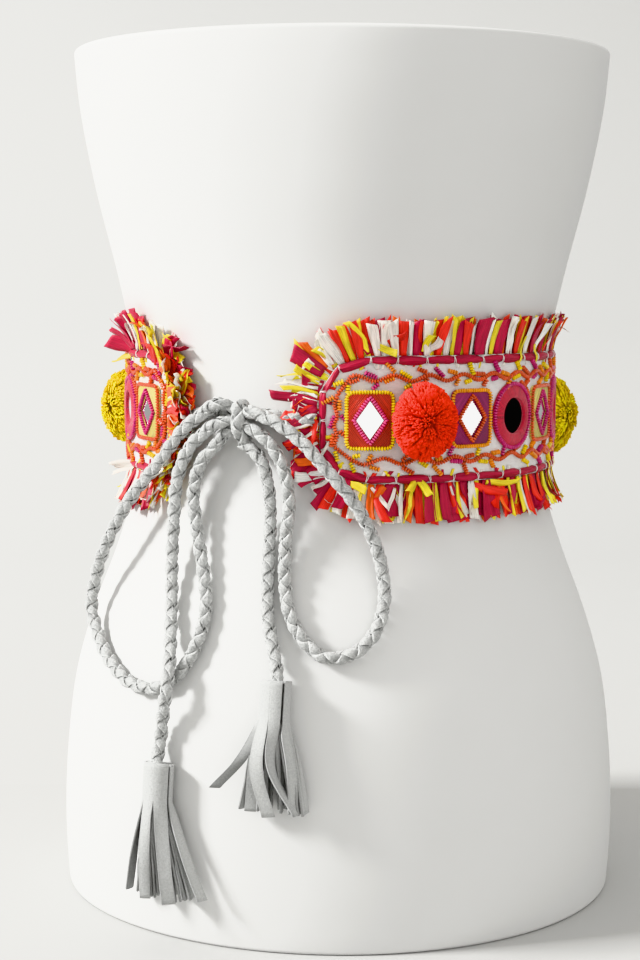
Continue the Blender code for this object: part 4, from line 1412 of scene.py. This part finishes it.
def make_vines(sizes, bead):
    """A coral bead stem round the band, with pairs of short rows of beads for leaves."""
    rng = np.random.default_rng(21)
    pile = Pile()
    path = vine_path()
    string_beads(pile, bead, sizes, path, 2.95, CORAL, rng, closed=True, scale=1.09)
    stops, headings = spaced(path, sizes.leaf_step, True)
    colours = (LEMON, ORANGE, MAGENTA, CORAL)
    for i, (stop, heading) in enumerate(zip(stops, headings)):
        for way in (1, -1):
            leaf = turned(heading, way * math.radians(rng.uniform(26, 42)))
            aside = way * np.array([-heading[1], heading[0]])
            beads = rng.integers(3, 5) if way == 1 else rng.integers(4, 6)
            start = stop + aside * 1.5 + leaf * 0.6
            end = start + leaf * sizes.bead_pitch * (beads - 1)
            if rng.random() < 0.94:
                line = np.array([start, end])
                scale = rng.uniform(1.1, 1.24)
                string_beads(pile, bead, sizes, line, 2.9, colours[i % len(colours)], rng, scale=scale)
    pile.finish("bead_vines", shared(glass_beads), slot="satin_red")


def motif_rows():
    """Each motif's number, kind, colour and place along the band."""
    for number, ((kind, colour), along) in enumerate(zip(MOTIFS, motif_places()), start=1):
        yield number, kind, colour, along


def route_line(places, spacing):
    """A smooth line through places in metres, at a spacing in millimetres, and the way out at each point."""
    chords = line_lengths(places)
    fine = np.linspace(0.0, chords[-1], 40 * len(places))
    lengths = line_lengths(smooth_table(chords, places, fine))
    count = max(8, round(lengths[-1] / (spacing * MM)))
    line = smooth_table(chords, places, np.interp(np.linspace(0, lengths[-1], count), lengths, fine))
    return line, unit(line * (1, 1, 0))


def add_braid(pile, sizes, dyes, line, facing, seed, size=1.0):
    """Four suede laces plaited round a line, with the plait's face turned where facing points."""
    rng = np.random.default_rng(seed)
    tangent = unit(np.gradient(line, axis=0))
    normal = unit(facing - tangent * (facing * tangent).sum(1)[:, None])
    beside = np.cross(tangent, normal)
    length = line_lengths(line) / MM
    shape = tube_shape(12, len(line))
    row = shape.ring(len(line))
    turn = shape.turn()
    side = np.sign(np.cos(turn)) * np.abs(np.cos(turn)) ** 0.42
    face = np.sign(np.sin(turn)) * np.abs(np.sin(turn)) ** 0.5
    rate = math.tau / sizes.braid_turn
    knots = np.arange(0, length[-1] + 9, 5.0)
    for way in (1, -1):
        over = way * np.cos(2 * rate * length)
        radius = size * (BRAID_RADIUS + BRAID_CROSSING * over)
        for half in (0, math.pi):
            phase = way * rate * length + half + math.pi / 4
            radial = normal * np.cos(phase)[:, None] + beside * np.sin(phase)[:, None]
            around = beside * np.cos(phase)[:, None] - normal * np.sin(phase)[:, None]
            heading = unit(tangent + around * (way * rate * radius)[:, None])
            flat = unit(np.cross(radial, heading))
            uneven = 1 + 0.12 * np.interp(length, knots, rng.normal(0, 1, len(knots)))
            x = sizes.lace_width * size / 2 * side * uneven[row]
            y = size * LACE_HALF_WALL * face - x**2 / (8.0 * size)
            points = line[row] + (radial[row] * (radius[row] + y)[:, None] + flat[row] * x[:, None]) * MM
            # Painted shade and highlight: a lace is painted darker where it dips under the others, and
            # lighter along the edges of its outer face, partly for the paler cut edge of suede
            shade = (1 + 0.3 * (np.abs(side) > 0.85) * (face > -0.2)) * (0.77 + 0.27 * over[row])
            dye = np.array(dyes.suede) * shade[:, None] * rng.uniform(0.95, 1.06)
            pile.add(shape, points[None], dye[None])


def cord_places(name):
    """The points of a cord's route: a tail goes on a little way into its tassel's head."""
    route = CORD_ROUTES[name]
    if name.startswith("tail"):
        azimuth, height, _ = route[-1]
        route = (*route, (azimuth, height - CORD_INTO_HEAD, TASSEL_LIFT))
    return form_places(*np.array(route).T)


def make_cords(sizes, dyes):
    for seed, name in enumerate(CORD_ROUTES):
        line, outward = route_line(cord_places(name), 1.1)
        pile = Pile()
        add_braid(pile, sizes, dyes, line, outward * 0.6 + TOWARDS_FRONT, seed, size=1.05)
        pile.finish("braided_" + name, shared(rough_suede), replaces=[name], slot="suede", sharp=40)


def cord_end(name, end):
    """Two places at an end of a cord: one a little way in along it, and its very end."""
    line, _ = route_line(cord_places(name), 1.2)
    return line[[end - KNOT_LAP if end else KNOT_LAP, end]]


def make_knot(sizes, dyes):
    """The bow's middle: cords that lie across, and one turn of cord over them."""
    pile = Pile()
    for seed, (first, first_end, course, last, last_end) in enumerate(KNOT_COURSES):
        across, rise, lift = np.array(course).T
        between = form_places(KNOT_AZIMUTH, KNOT_HEIGHT + rise, lift, across)
        places = np.concatenate([cord_end(first, first_end), between, cord_end(last, last_end)[::-1]])
        line, outward = route_line(places, 1.0)
        add_braid(pile, sizes, dyes, line, outward * 0.6 + TOWARDS_FRONT, 30 + seed, size=0.96)
    turns = np.radians(np.linspace(-155, 155, 44))
    across = WRAP_ACROSS - 0.8 * np.sin(turns * 0.5)
    rise = WRAP_RISE + WRAP_HALF_HEIGHT * np.sin(turns)
    lift = WRAP_LIFT + WRAP_HALF_DEPTH * np.cos(turns)
    line = form_places(KNOT_AZIMUTH, KNOT_HEIGHT + rise, lift, across)
    middle = form_places(KNOT_AZIMUTH, KNOT_HEIGHT + WRAP_RISE, 5.0, WRAP_ACROSS - 2.5)
    add_braid(pile, sizes, dyes, line, line - middle, 40, size=1.12)
    pile.finish("bow_knot", shared(rough_suede), replaces=["knot"], slot="suede", sharp=40)


def lay_suede_strips(rows, azimuth, top, fall, start, radii, seam, rng):
    """Strips of suede round a tassel's head and down from it, by rows like those of TASSEL_STRIPS."""
    rows = np.array(sorted(rows))
    middle = (rows[1:, 0] + rows[:-1, 0]) / 2
    edges = np.concatenate([[2 * rows[0, 0] - middle[0]], middle, [2 * rows[-1, 0] - middle[-1]]])
    view = math.radians(azimuth)
    parted = (edges[:-1] > seam - SEAM_GAP) & (edges[:-1] < seam + SEAM_GAP)
    before = np.radians((edges[:-1] + SEAM_GAP * parted)[:, None]) - view
    after = np.radians(edges[1:, None]) - view
    angle, aside, tip_lift, bow, turn, width, share = (value[:, None] for value in rows.T)
    tip_across = (aside - (tip_lift - TASSEL_LIFT) * math.sin(view)) / math.cos(view)
    shape = strip_shape(6, 26)
    even, far, _ = shape.points.T[:, None]
    u = np.sign(even) * np.interp(np.abs(even), *CRISP_EDGES)
    down = start + (TASSEL_NECK + fall * share - start) * far
    v = np.clip((down - TASSEL_NECK) / (fall * share), 0, 1)
    neck = np.radians(angle) - view
    ease = v**1.15
    path_across = radii * np.sin(neck) * (1 - ease) + tip_across * ease + bow * np.sin(math.pi * v) ** 1.3
    path_lift = TASSEL_LIFT + radii * np.cos(neck) * (1 - ease) + (tip_lift - TASSEL_LIFT) * ease
    flutter = rng.uniform(0, math.tau, (len(rows), 1))
    path_lift = path_lift + 0.5 * np.sin(4.2 * v + flutter) * v
    face = neck + (np.radians(turn) - view - neck) * np.minimum(1, 1.5 * v)
    face = face + 0.12 * np.sin(3.1 * v + flutter) * v
    x = u * width
    bowed = 0.3 * np.cos(flutter) * (1 - (2 * u) ** 2) * np.minimum(1, 3 * v)
    free = np.minimum(1, v / 0.16)
    free = free * free * (3 - 2 * free)
    on_head = before + (after - before) * (u + 0.5)
    across = path_across + free * (x * np.cos(face) + bowed * np.sin(face))
    across = across + (1 - free) * radii * (np.sin(on_head) - np.sin(neck))
    lift = path_lift + free * (bowed * np.cos(face) - x * np.sin(face))
    lift = lift + (1 - free) * radii * (np.cos(on_head) - np.cos(neck))
    nearest = 1.0 + 0.5 * rng.uniform(0, 1, (len(rows), 1))
    lift = np.where(lift < nearest + 1, nearest + np.exp(np.minimum(0, lift - nearest - 1)), lift)
    height = top - down + TASSEL_TILT * (lift - TASSEL_LIFT) * (1 - free)
    return shape, form_places(azimuth, height, lift, across), u, v


def hidden_strips(rng):
    """Strips round the back of a tassel, as rows like those of TASSEL_STRIPS."""
    rows = []
    for angle in range(118, 258, 15):
        aside = 3.0 + 11.0 * math.sin(math.radians(angle)) + rng.normal(0, 1.5)
        tip_lift = rng.uniform(3.0, 5.5)
        tip_turn = rng.uniform(40, 140)
        rows.append((angle, aside, tip_lift, 0.0, tip_turn, 4.2, rng.uniform(0.95, 1.0)))
    return rows


def add_tassel_head(pile, name, dye):
    """A strip of suede rolled up and painted dark, as the shade inside the head, and the roll's top with a
    notch at its seam.
    """
    azimuth, top, _, seam, way = TASSELS[name]
    roll = strip_shape(90, 5)
    inward = 0.5 - roll.points[:, 0]
    turn = np.radians(seam - azimuth - way * 360 * TASSEL_TURNS * inward)
    radius = TASSEL_RADIUS - ROLL_INSET - ROLL_WALL * TASSEL_TURNS * inward
    out = radius * np.cos(turn)
    height = top - 0.4 - (1 - roll.points[:, 1]) * TASSEL_NECK + TASSEL_TILT * out
    places = form_places(azimuth, height, TASSEL_LIFT + out, radius * np.sin(turn))
    # Painted shade: the roll is darker, as it lies in the head's shade
    pile.add(roll, places[None], dye * ROLL_PAINTED_SHADE)
    cap = disc_shape(72)
    x, y, _ = cap.points.T
    seen = np.degrees(np.arctan2(x, -y)) + azimuth
    reach = TASSEL_RADIUS - 0.4 - TASSEL_STEP * ((seen > seam) & (seen < FRONT_SPREAD))
    reach = reach - 1.5 * (np.abs(seen - seam) < SEAM_GAP / 2)
    out = -y * reach
    places = form_places(azimuth, top - 0.7 + TASSEL_TILT * out, TASSEL_LIFT + out, x * reach)
    pile.add(cap, places[None], dye)


def make_tassel(name, dyes, seed):
    """A rolled suede head with its overlap at the front, cut into strips below."""
    azimuth, top, drop, seam, _ = TASSELS[name]
    rng = np.random.default_rng(seed)
    dye = np.array(dyes.suede) * TASSEL_TONE
    pile = Pile()
    add_tassel_head(pile, name, dye)
    front = sorted(TASSEL_STRIPS[name])
    steps = np.array([[TASSEL_RADIUS - TASSEL_STEP * (row[0] > seam)] for row in front])
    layers = (
        # rows, start below the head's top, radius, tone and painted shade: the hidden and inner strips are
        # darker
        (hidden_strips(rng), 0.0, TASSEL_RADIUS - 0.3, 0.9),
        (TASSEL_INNER_STRIPS[name], TASSEL_NECK - 1.2, TASSEL_RADIUS - 1.9, 0.8),
        (front, 0.0, steps, 1.0),
    )
    fall = drop - TASSEL_NECK
    for rows, start, radii, tone_and_shade in layers:
        shape, points, u, v = lay_suede_strips(rows, azimuth, top, fall, start, radii, seam, rng)
        loose = np.minimum(1, 6 * v)
        angles = np.array(sorted(rows))[:, :1]
        uneven = rng.uniform(-0.05, 0.05, (len(rows), 1))
        # Each strip is darker along its edges below the neck, and a little uneven
        shade = tone_and_shade * (1 - 0.16 * np.abs(2 * u) ** 6 * loose) * (1 + uneven * loose)
        # Painted shade on the strips that face the lamp, below the neck
        shade = shade * np.where(angles < LIT_STRIP, 1 + (LIT_STRIP_PAINTED_SHADE - 1) * loose, 1.0)
        pile.add(shape, points, dye * shade[..., None])
    finish = shared(light_suede)
    pile.finish("suede_" + name, finish, replaces=[name], slot="suede", wall=SUEDE_WALL, sharp=50)


def make_camera():
    """The photograph's view, as fitted to the form's rims and sides."""
    camera = bpy.data.cameras.new("camera")
    camera.sensor_fit = "VERTICAL"
    camera.sensor_height = 36.0
    camera.lens = 65.1
    item = bpy.data.objects.new("camera", camera)
    yaw = Matrix.Rotation(CAMERA_YAW, 4, "Z")
    pitch = Matrix.Rotation(math.pi / 2 - CAMERA_PITCH, 4, "X")
    roll = Matrix.Rotation(CAMERA_ROLL, 4, "Z")
    item.matrix_world = Matrix.Translation(CAMERA_PLACE) @ (yaw @ pitch @ roll)
    bpy.context.scene.collection.objects.link(item)
    bpy.context.scene.camera = item


def make_ground(name, rows, paint):
    """A wide sheet through rows of depth and height, in metres."""
    builder = bmesh.new()
    bmesh.ops.create_grid(builder, x_segments=1, y_segments=len(rows) - 1, size=0.5)
    for vert in builder.verts:
        depth, height = rows[round((vert.co.y + 0.5) * (len(rows) - 1))]
        vert.co = (vert.co.x * GROUND_WIDTH, depth, height)
    mesh = bpy.data.meshes.new(name)
    builder.to_mesh(mesh)
    builder.free()
    mesh.materials.append(paint)
    mesh.shade_smooth()
    piece = bpy.data.objects.new(name, mesh)
    bpy.context.scene.collection.objects.link(piece)


def make_light(name, place, aim, width, height, power):
    lamp = bpy.data.lights.new(name, "AREA")
    lamp.shape = "RECTANGLE"
    lamp.size = width
    lamp.size_y = height
    lamp.energy = power
    item = bpy.data.objects.new(name, lamp)
    item.location = place
    item.rotation_euler = (Vector(aim) - Vector(place)).to_track_quat("-Z", "Y").to_euler()
    bpy.context.scene.collection.objects.link(item)


def make_room():
    """White light from all sides, strongest from above, and a dark doorway on the right for the mirrors."""
    world = bpy.data.worlds.new("room")
    world.use_nodes = True
    room = Nodes(world.node_tree)
    way = room.add("TexCoord", "Generated", {})
    up = room.add("SeparateXYZ", "Z", {"Vector": way})
    toward = room.add("VectorMath", "Value", {0: way, 1: DOORWAY}, operation="DOT_PRODUCT")
    sky = room.ramp(up, 0.0, 1.0, 0.52, 1.25)
    ground = room.ramp(up, -0.35, 0.0, 0.4, 1.0)
    doorway = room.ramp(toward, 0.9135, 0.965, 1.0, 0.03)
    # The camera sees the room without its doorway
    unseen = room.math("MAXIMUM", doorway, room.add("LightPath", "Is Camera Ray", {}))
    strength = room.math("MULTIPLY", room.math("MULTIPLY", sky, ground), unseen)
    background = room.tree.nodes["Background"]
    background.inputs["Color"].default_value = ROOM_LIGHT
    room.tree.links.new(strength, background.inputs["Strength"])
    bpy.context.scene.world = world


def make_stage():
    """A pale table and backdrop, a large light on the left, a white screen on the right, and the room."""
    table = Finish("pale_table", (0.49, 0.49, 0.48), 0.9, specular_ior_level=0.1).material
    paper = Finish("pale_paper", (0.50, 0.50, 0.49), 0.9, specular_ior_level=0.1).material
    make_ground("table", ((-2.4, 0.0), (TABLE_EDGE, 0.0)), table)
    make_ground("backdrop", BACKDROP, paper)
    make_light("key", (-4.2, -0.97, 2.7), (0.0, 0.0, 0.26), 0.93, 0.93, 385.0)
    make_light("screen", (1.606, -1.784, 0.5), (0.0, 0.0, 0.42), 3.2, 1.0, 11.0)
    make_room()
    bpy.context.scene.view_settings.view_transform = "Khronos PBR Neutral"


class BELT_OT_stage(Operator):
    """Makes the table, the backdrop, the lights and the camera"""

    bl_idname = "belt.stage"
    bl_label = "Stage and camera"

    def execute(self, context):
        make_camera()
        make_stage()
        return {"FINISHED"}


class BELT_OT_cords(Operator):
    """Plaits the ties, the bow's loops and its tails"""

    bl_idname = "belt.cords"
    bl_label = "Braided cords"

    def execute(self, context):
        make_cords(context.scene.belt_sizes, context.scene.belt_dyes)
        return {"FINISHED"}


class BELT_OT_knot(Operator):
    """Ties the bow's knot"""

    bl_idname = "belt.knot"
    bl_label = "Knot"

    def execute(self, context):
        make_knot(context.scene.belt_sizes, context.scene.belt_dyes)
        return {"FINISHED"}


class BELT_OT_tassels(Operator):
    """Rolls and cuts the two suede tassels"""

    bl_idname = "belt.tassels"
    bl_label = "Tassels"

    def execute(self, context):
        for seed, name in enumerate(TASSELS, start=70):
            make_tassel(name, context.scene.belt_dyes, seed)
        return {"FINISHED"}


class BELT_OT_form(Operator):
    """Makes the white display form"""

    bl_idname = "belt.form"
    bl_label = "Display form"

    def execute(self, context):
        make_waist_form()
        return {"FINISHED"}


class BELT_OT_canvas(Operator):
    """Makes the canvas band"""

    bl_idname = "belt.canvas"
    bl_label = "Canvas band"

    def execute(self, context):
        make_canvas()
        return {"FINISHED"}


class BELT_OT_bindings(Operator):
    """Couches raffia along the band's edges"""

    bl_idname = "belt.bindings"
    bl_label = "Raffia bindings"

    def execute(self, context):
        for seed, name in enumerate(SIDES, start=50):
            make_binding(name, context.scene.belt_sizes, context.scene.belt_dyes, seed)
        return {"FINISHED"}


class BELT_OT_fringes(Operator):
    """Sets raffia strands all round the band"""

    bl_idname = "belt.fringes"
    bl_label = "Raffia fringes"

    def execute(self, context):
        for seed, name in enumerate(SIDES, start=60):
            make_fringe(name, context.scene.belt_dyes, seed)
        return {"FINISHED"}


class BELT_OT_patches(Operator):
    """Sews on the square and round satin patches with their rows of beads"""

    bl_idname = "belt.patches"
    bl_label = "Satin patches"

    def execute(self, context):
        sizes = context.scene.belt_sizes
        rng = np.random.default_rng(8)
        bead = bead_shape()
        square_pad = tube_shape(OUTLINE_POINTS, len(SQUARE_LEVELS))
        ring_pad = tube_shape(OUTLINE_POINTS, len(RING_LEVELS))
        for number, kind, colour, along in motif_rows():
            if kind == "square":
                make_square_patch(number, along, colour, sizes, rng, bead, square_pad)
            elif kind == "ring":
                make_ring_patch(number, along, sizes, rng, bead, ring_pad)
        return {"FINISHED"}


class BELT_OT_mirrors(Operator):
    """Sets a mirror in each patch"""

    bl_idname = "belt.mirrors"
    bl_label = "Mirrors"

    def execute(self, context):
        for number, kind, _, along in motif_rows():
            if kind in MIRRORS:
                make_mirror(number, kind, along)
        return {"FINISHED"}


class BELT_OT_pompoms(Operator):
    """Makes the yarn pompoms"""

    bl_idname = "belt.pompoms"
    bl_label = "Pompoms"

    def execute(self, context):
        for number, kind, colour, along in motif_rows():
            if kind == "pompom":
                make_pompom(number, along + POMPOM_SHIFT, colour, context.scene.belt_sizes, seed=100 + number)
        return {"FINISHED"}


class BELT_OT_vines(Operator):
    """Sews bead vines along the band's edges"""

    bl_idname = "belt.vines"
    bl_label = "Bead vines"

    def execute(self, context):
        make_vines(context.scene.belt_sizes, bead_shape())
        return {"FINISHED"}


class BELT_OT_soft_facts(Operator):
    """Does nothing: a stand-in for facts about the cords and the cloth"""

    bl_idname = "belt.soft_facts"
    bl_label = "Cord and cloth facts"

    def execute(self, context):
        return {"FINISHED"}


OPERATORS = (
    BELT_OT_stage,
    BELT_OT_cords,
    BELT_OT_knot,
    BELT_OT_tassels,
    BELT_OT_form,
    BELT_OT_canvas,
    BELT_OT_bindings,
    BELT_OT_fringes,
    BELT_OT_patches,
    BELT_OT_mirrors,
    BELT_OT_pompoms,
    BELT_OT_vines,
    BELT_OT_soft_facts,
)


class BELT_PT_pieces(Panel):
    """The belt's sizes, colours and pieces"""

    bl_idname = "BELT_PT_pieces"
    bl_label = "Raffia wrap belt"
    bl_space_type = "VIEW_3D"
    bl_region_type = "UI"
    bl_category = "Belt"

    def draw(self, context):
        for group in (context.scene.belt_sizes, context.scene.belt_dyes):
            for name in group.__annotations__:
                self.layout.prop(group, name)
        for operator in OPERATORS:
            self.layout.operator(operator.bl_idname)


CLASSES = (BeltSizes, BeltDyes, *OPERATORS, BELT_PT_pieces)


def register():
    for item in CLASSES:
        bpy.utils.register_class(item)
    bpy.types.Scene.belt_sizes = PointerProperty(type=BeltSizes)
    bpy.types.Scene.belt_dyes = PointerProperty(type=BeltDyes)


def unregister():
    del bpy.types.Scene.belt_sizes
    del bpy.types.Scene.belt_dyes
    for item in reversed(CLASSES):
        bpy.utils.unregister_class(item)


def main():
    register()
    bpy.ops.belt.stage()
    bpy.ops.belt.cords()
    bpy.ops.belt.knot()
    bpy.ops.belt.tassels()
    bpy.ops.belt.form()
    bpy.ops.belt.canvas()
    bpy.ops.belt.bindings()
    bpy.ops.belt.fringes()
    bpy.ops.belt.patches()
    bpy.ops.belt.mirrors()
    bpy.ops.belt.pompoms()
    bpy.ops.belt.vines()
    bpy.ops.belt.soft_facts()


if __name__ == "__main__":
    main()
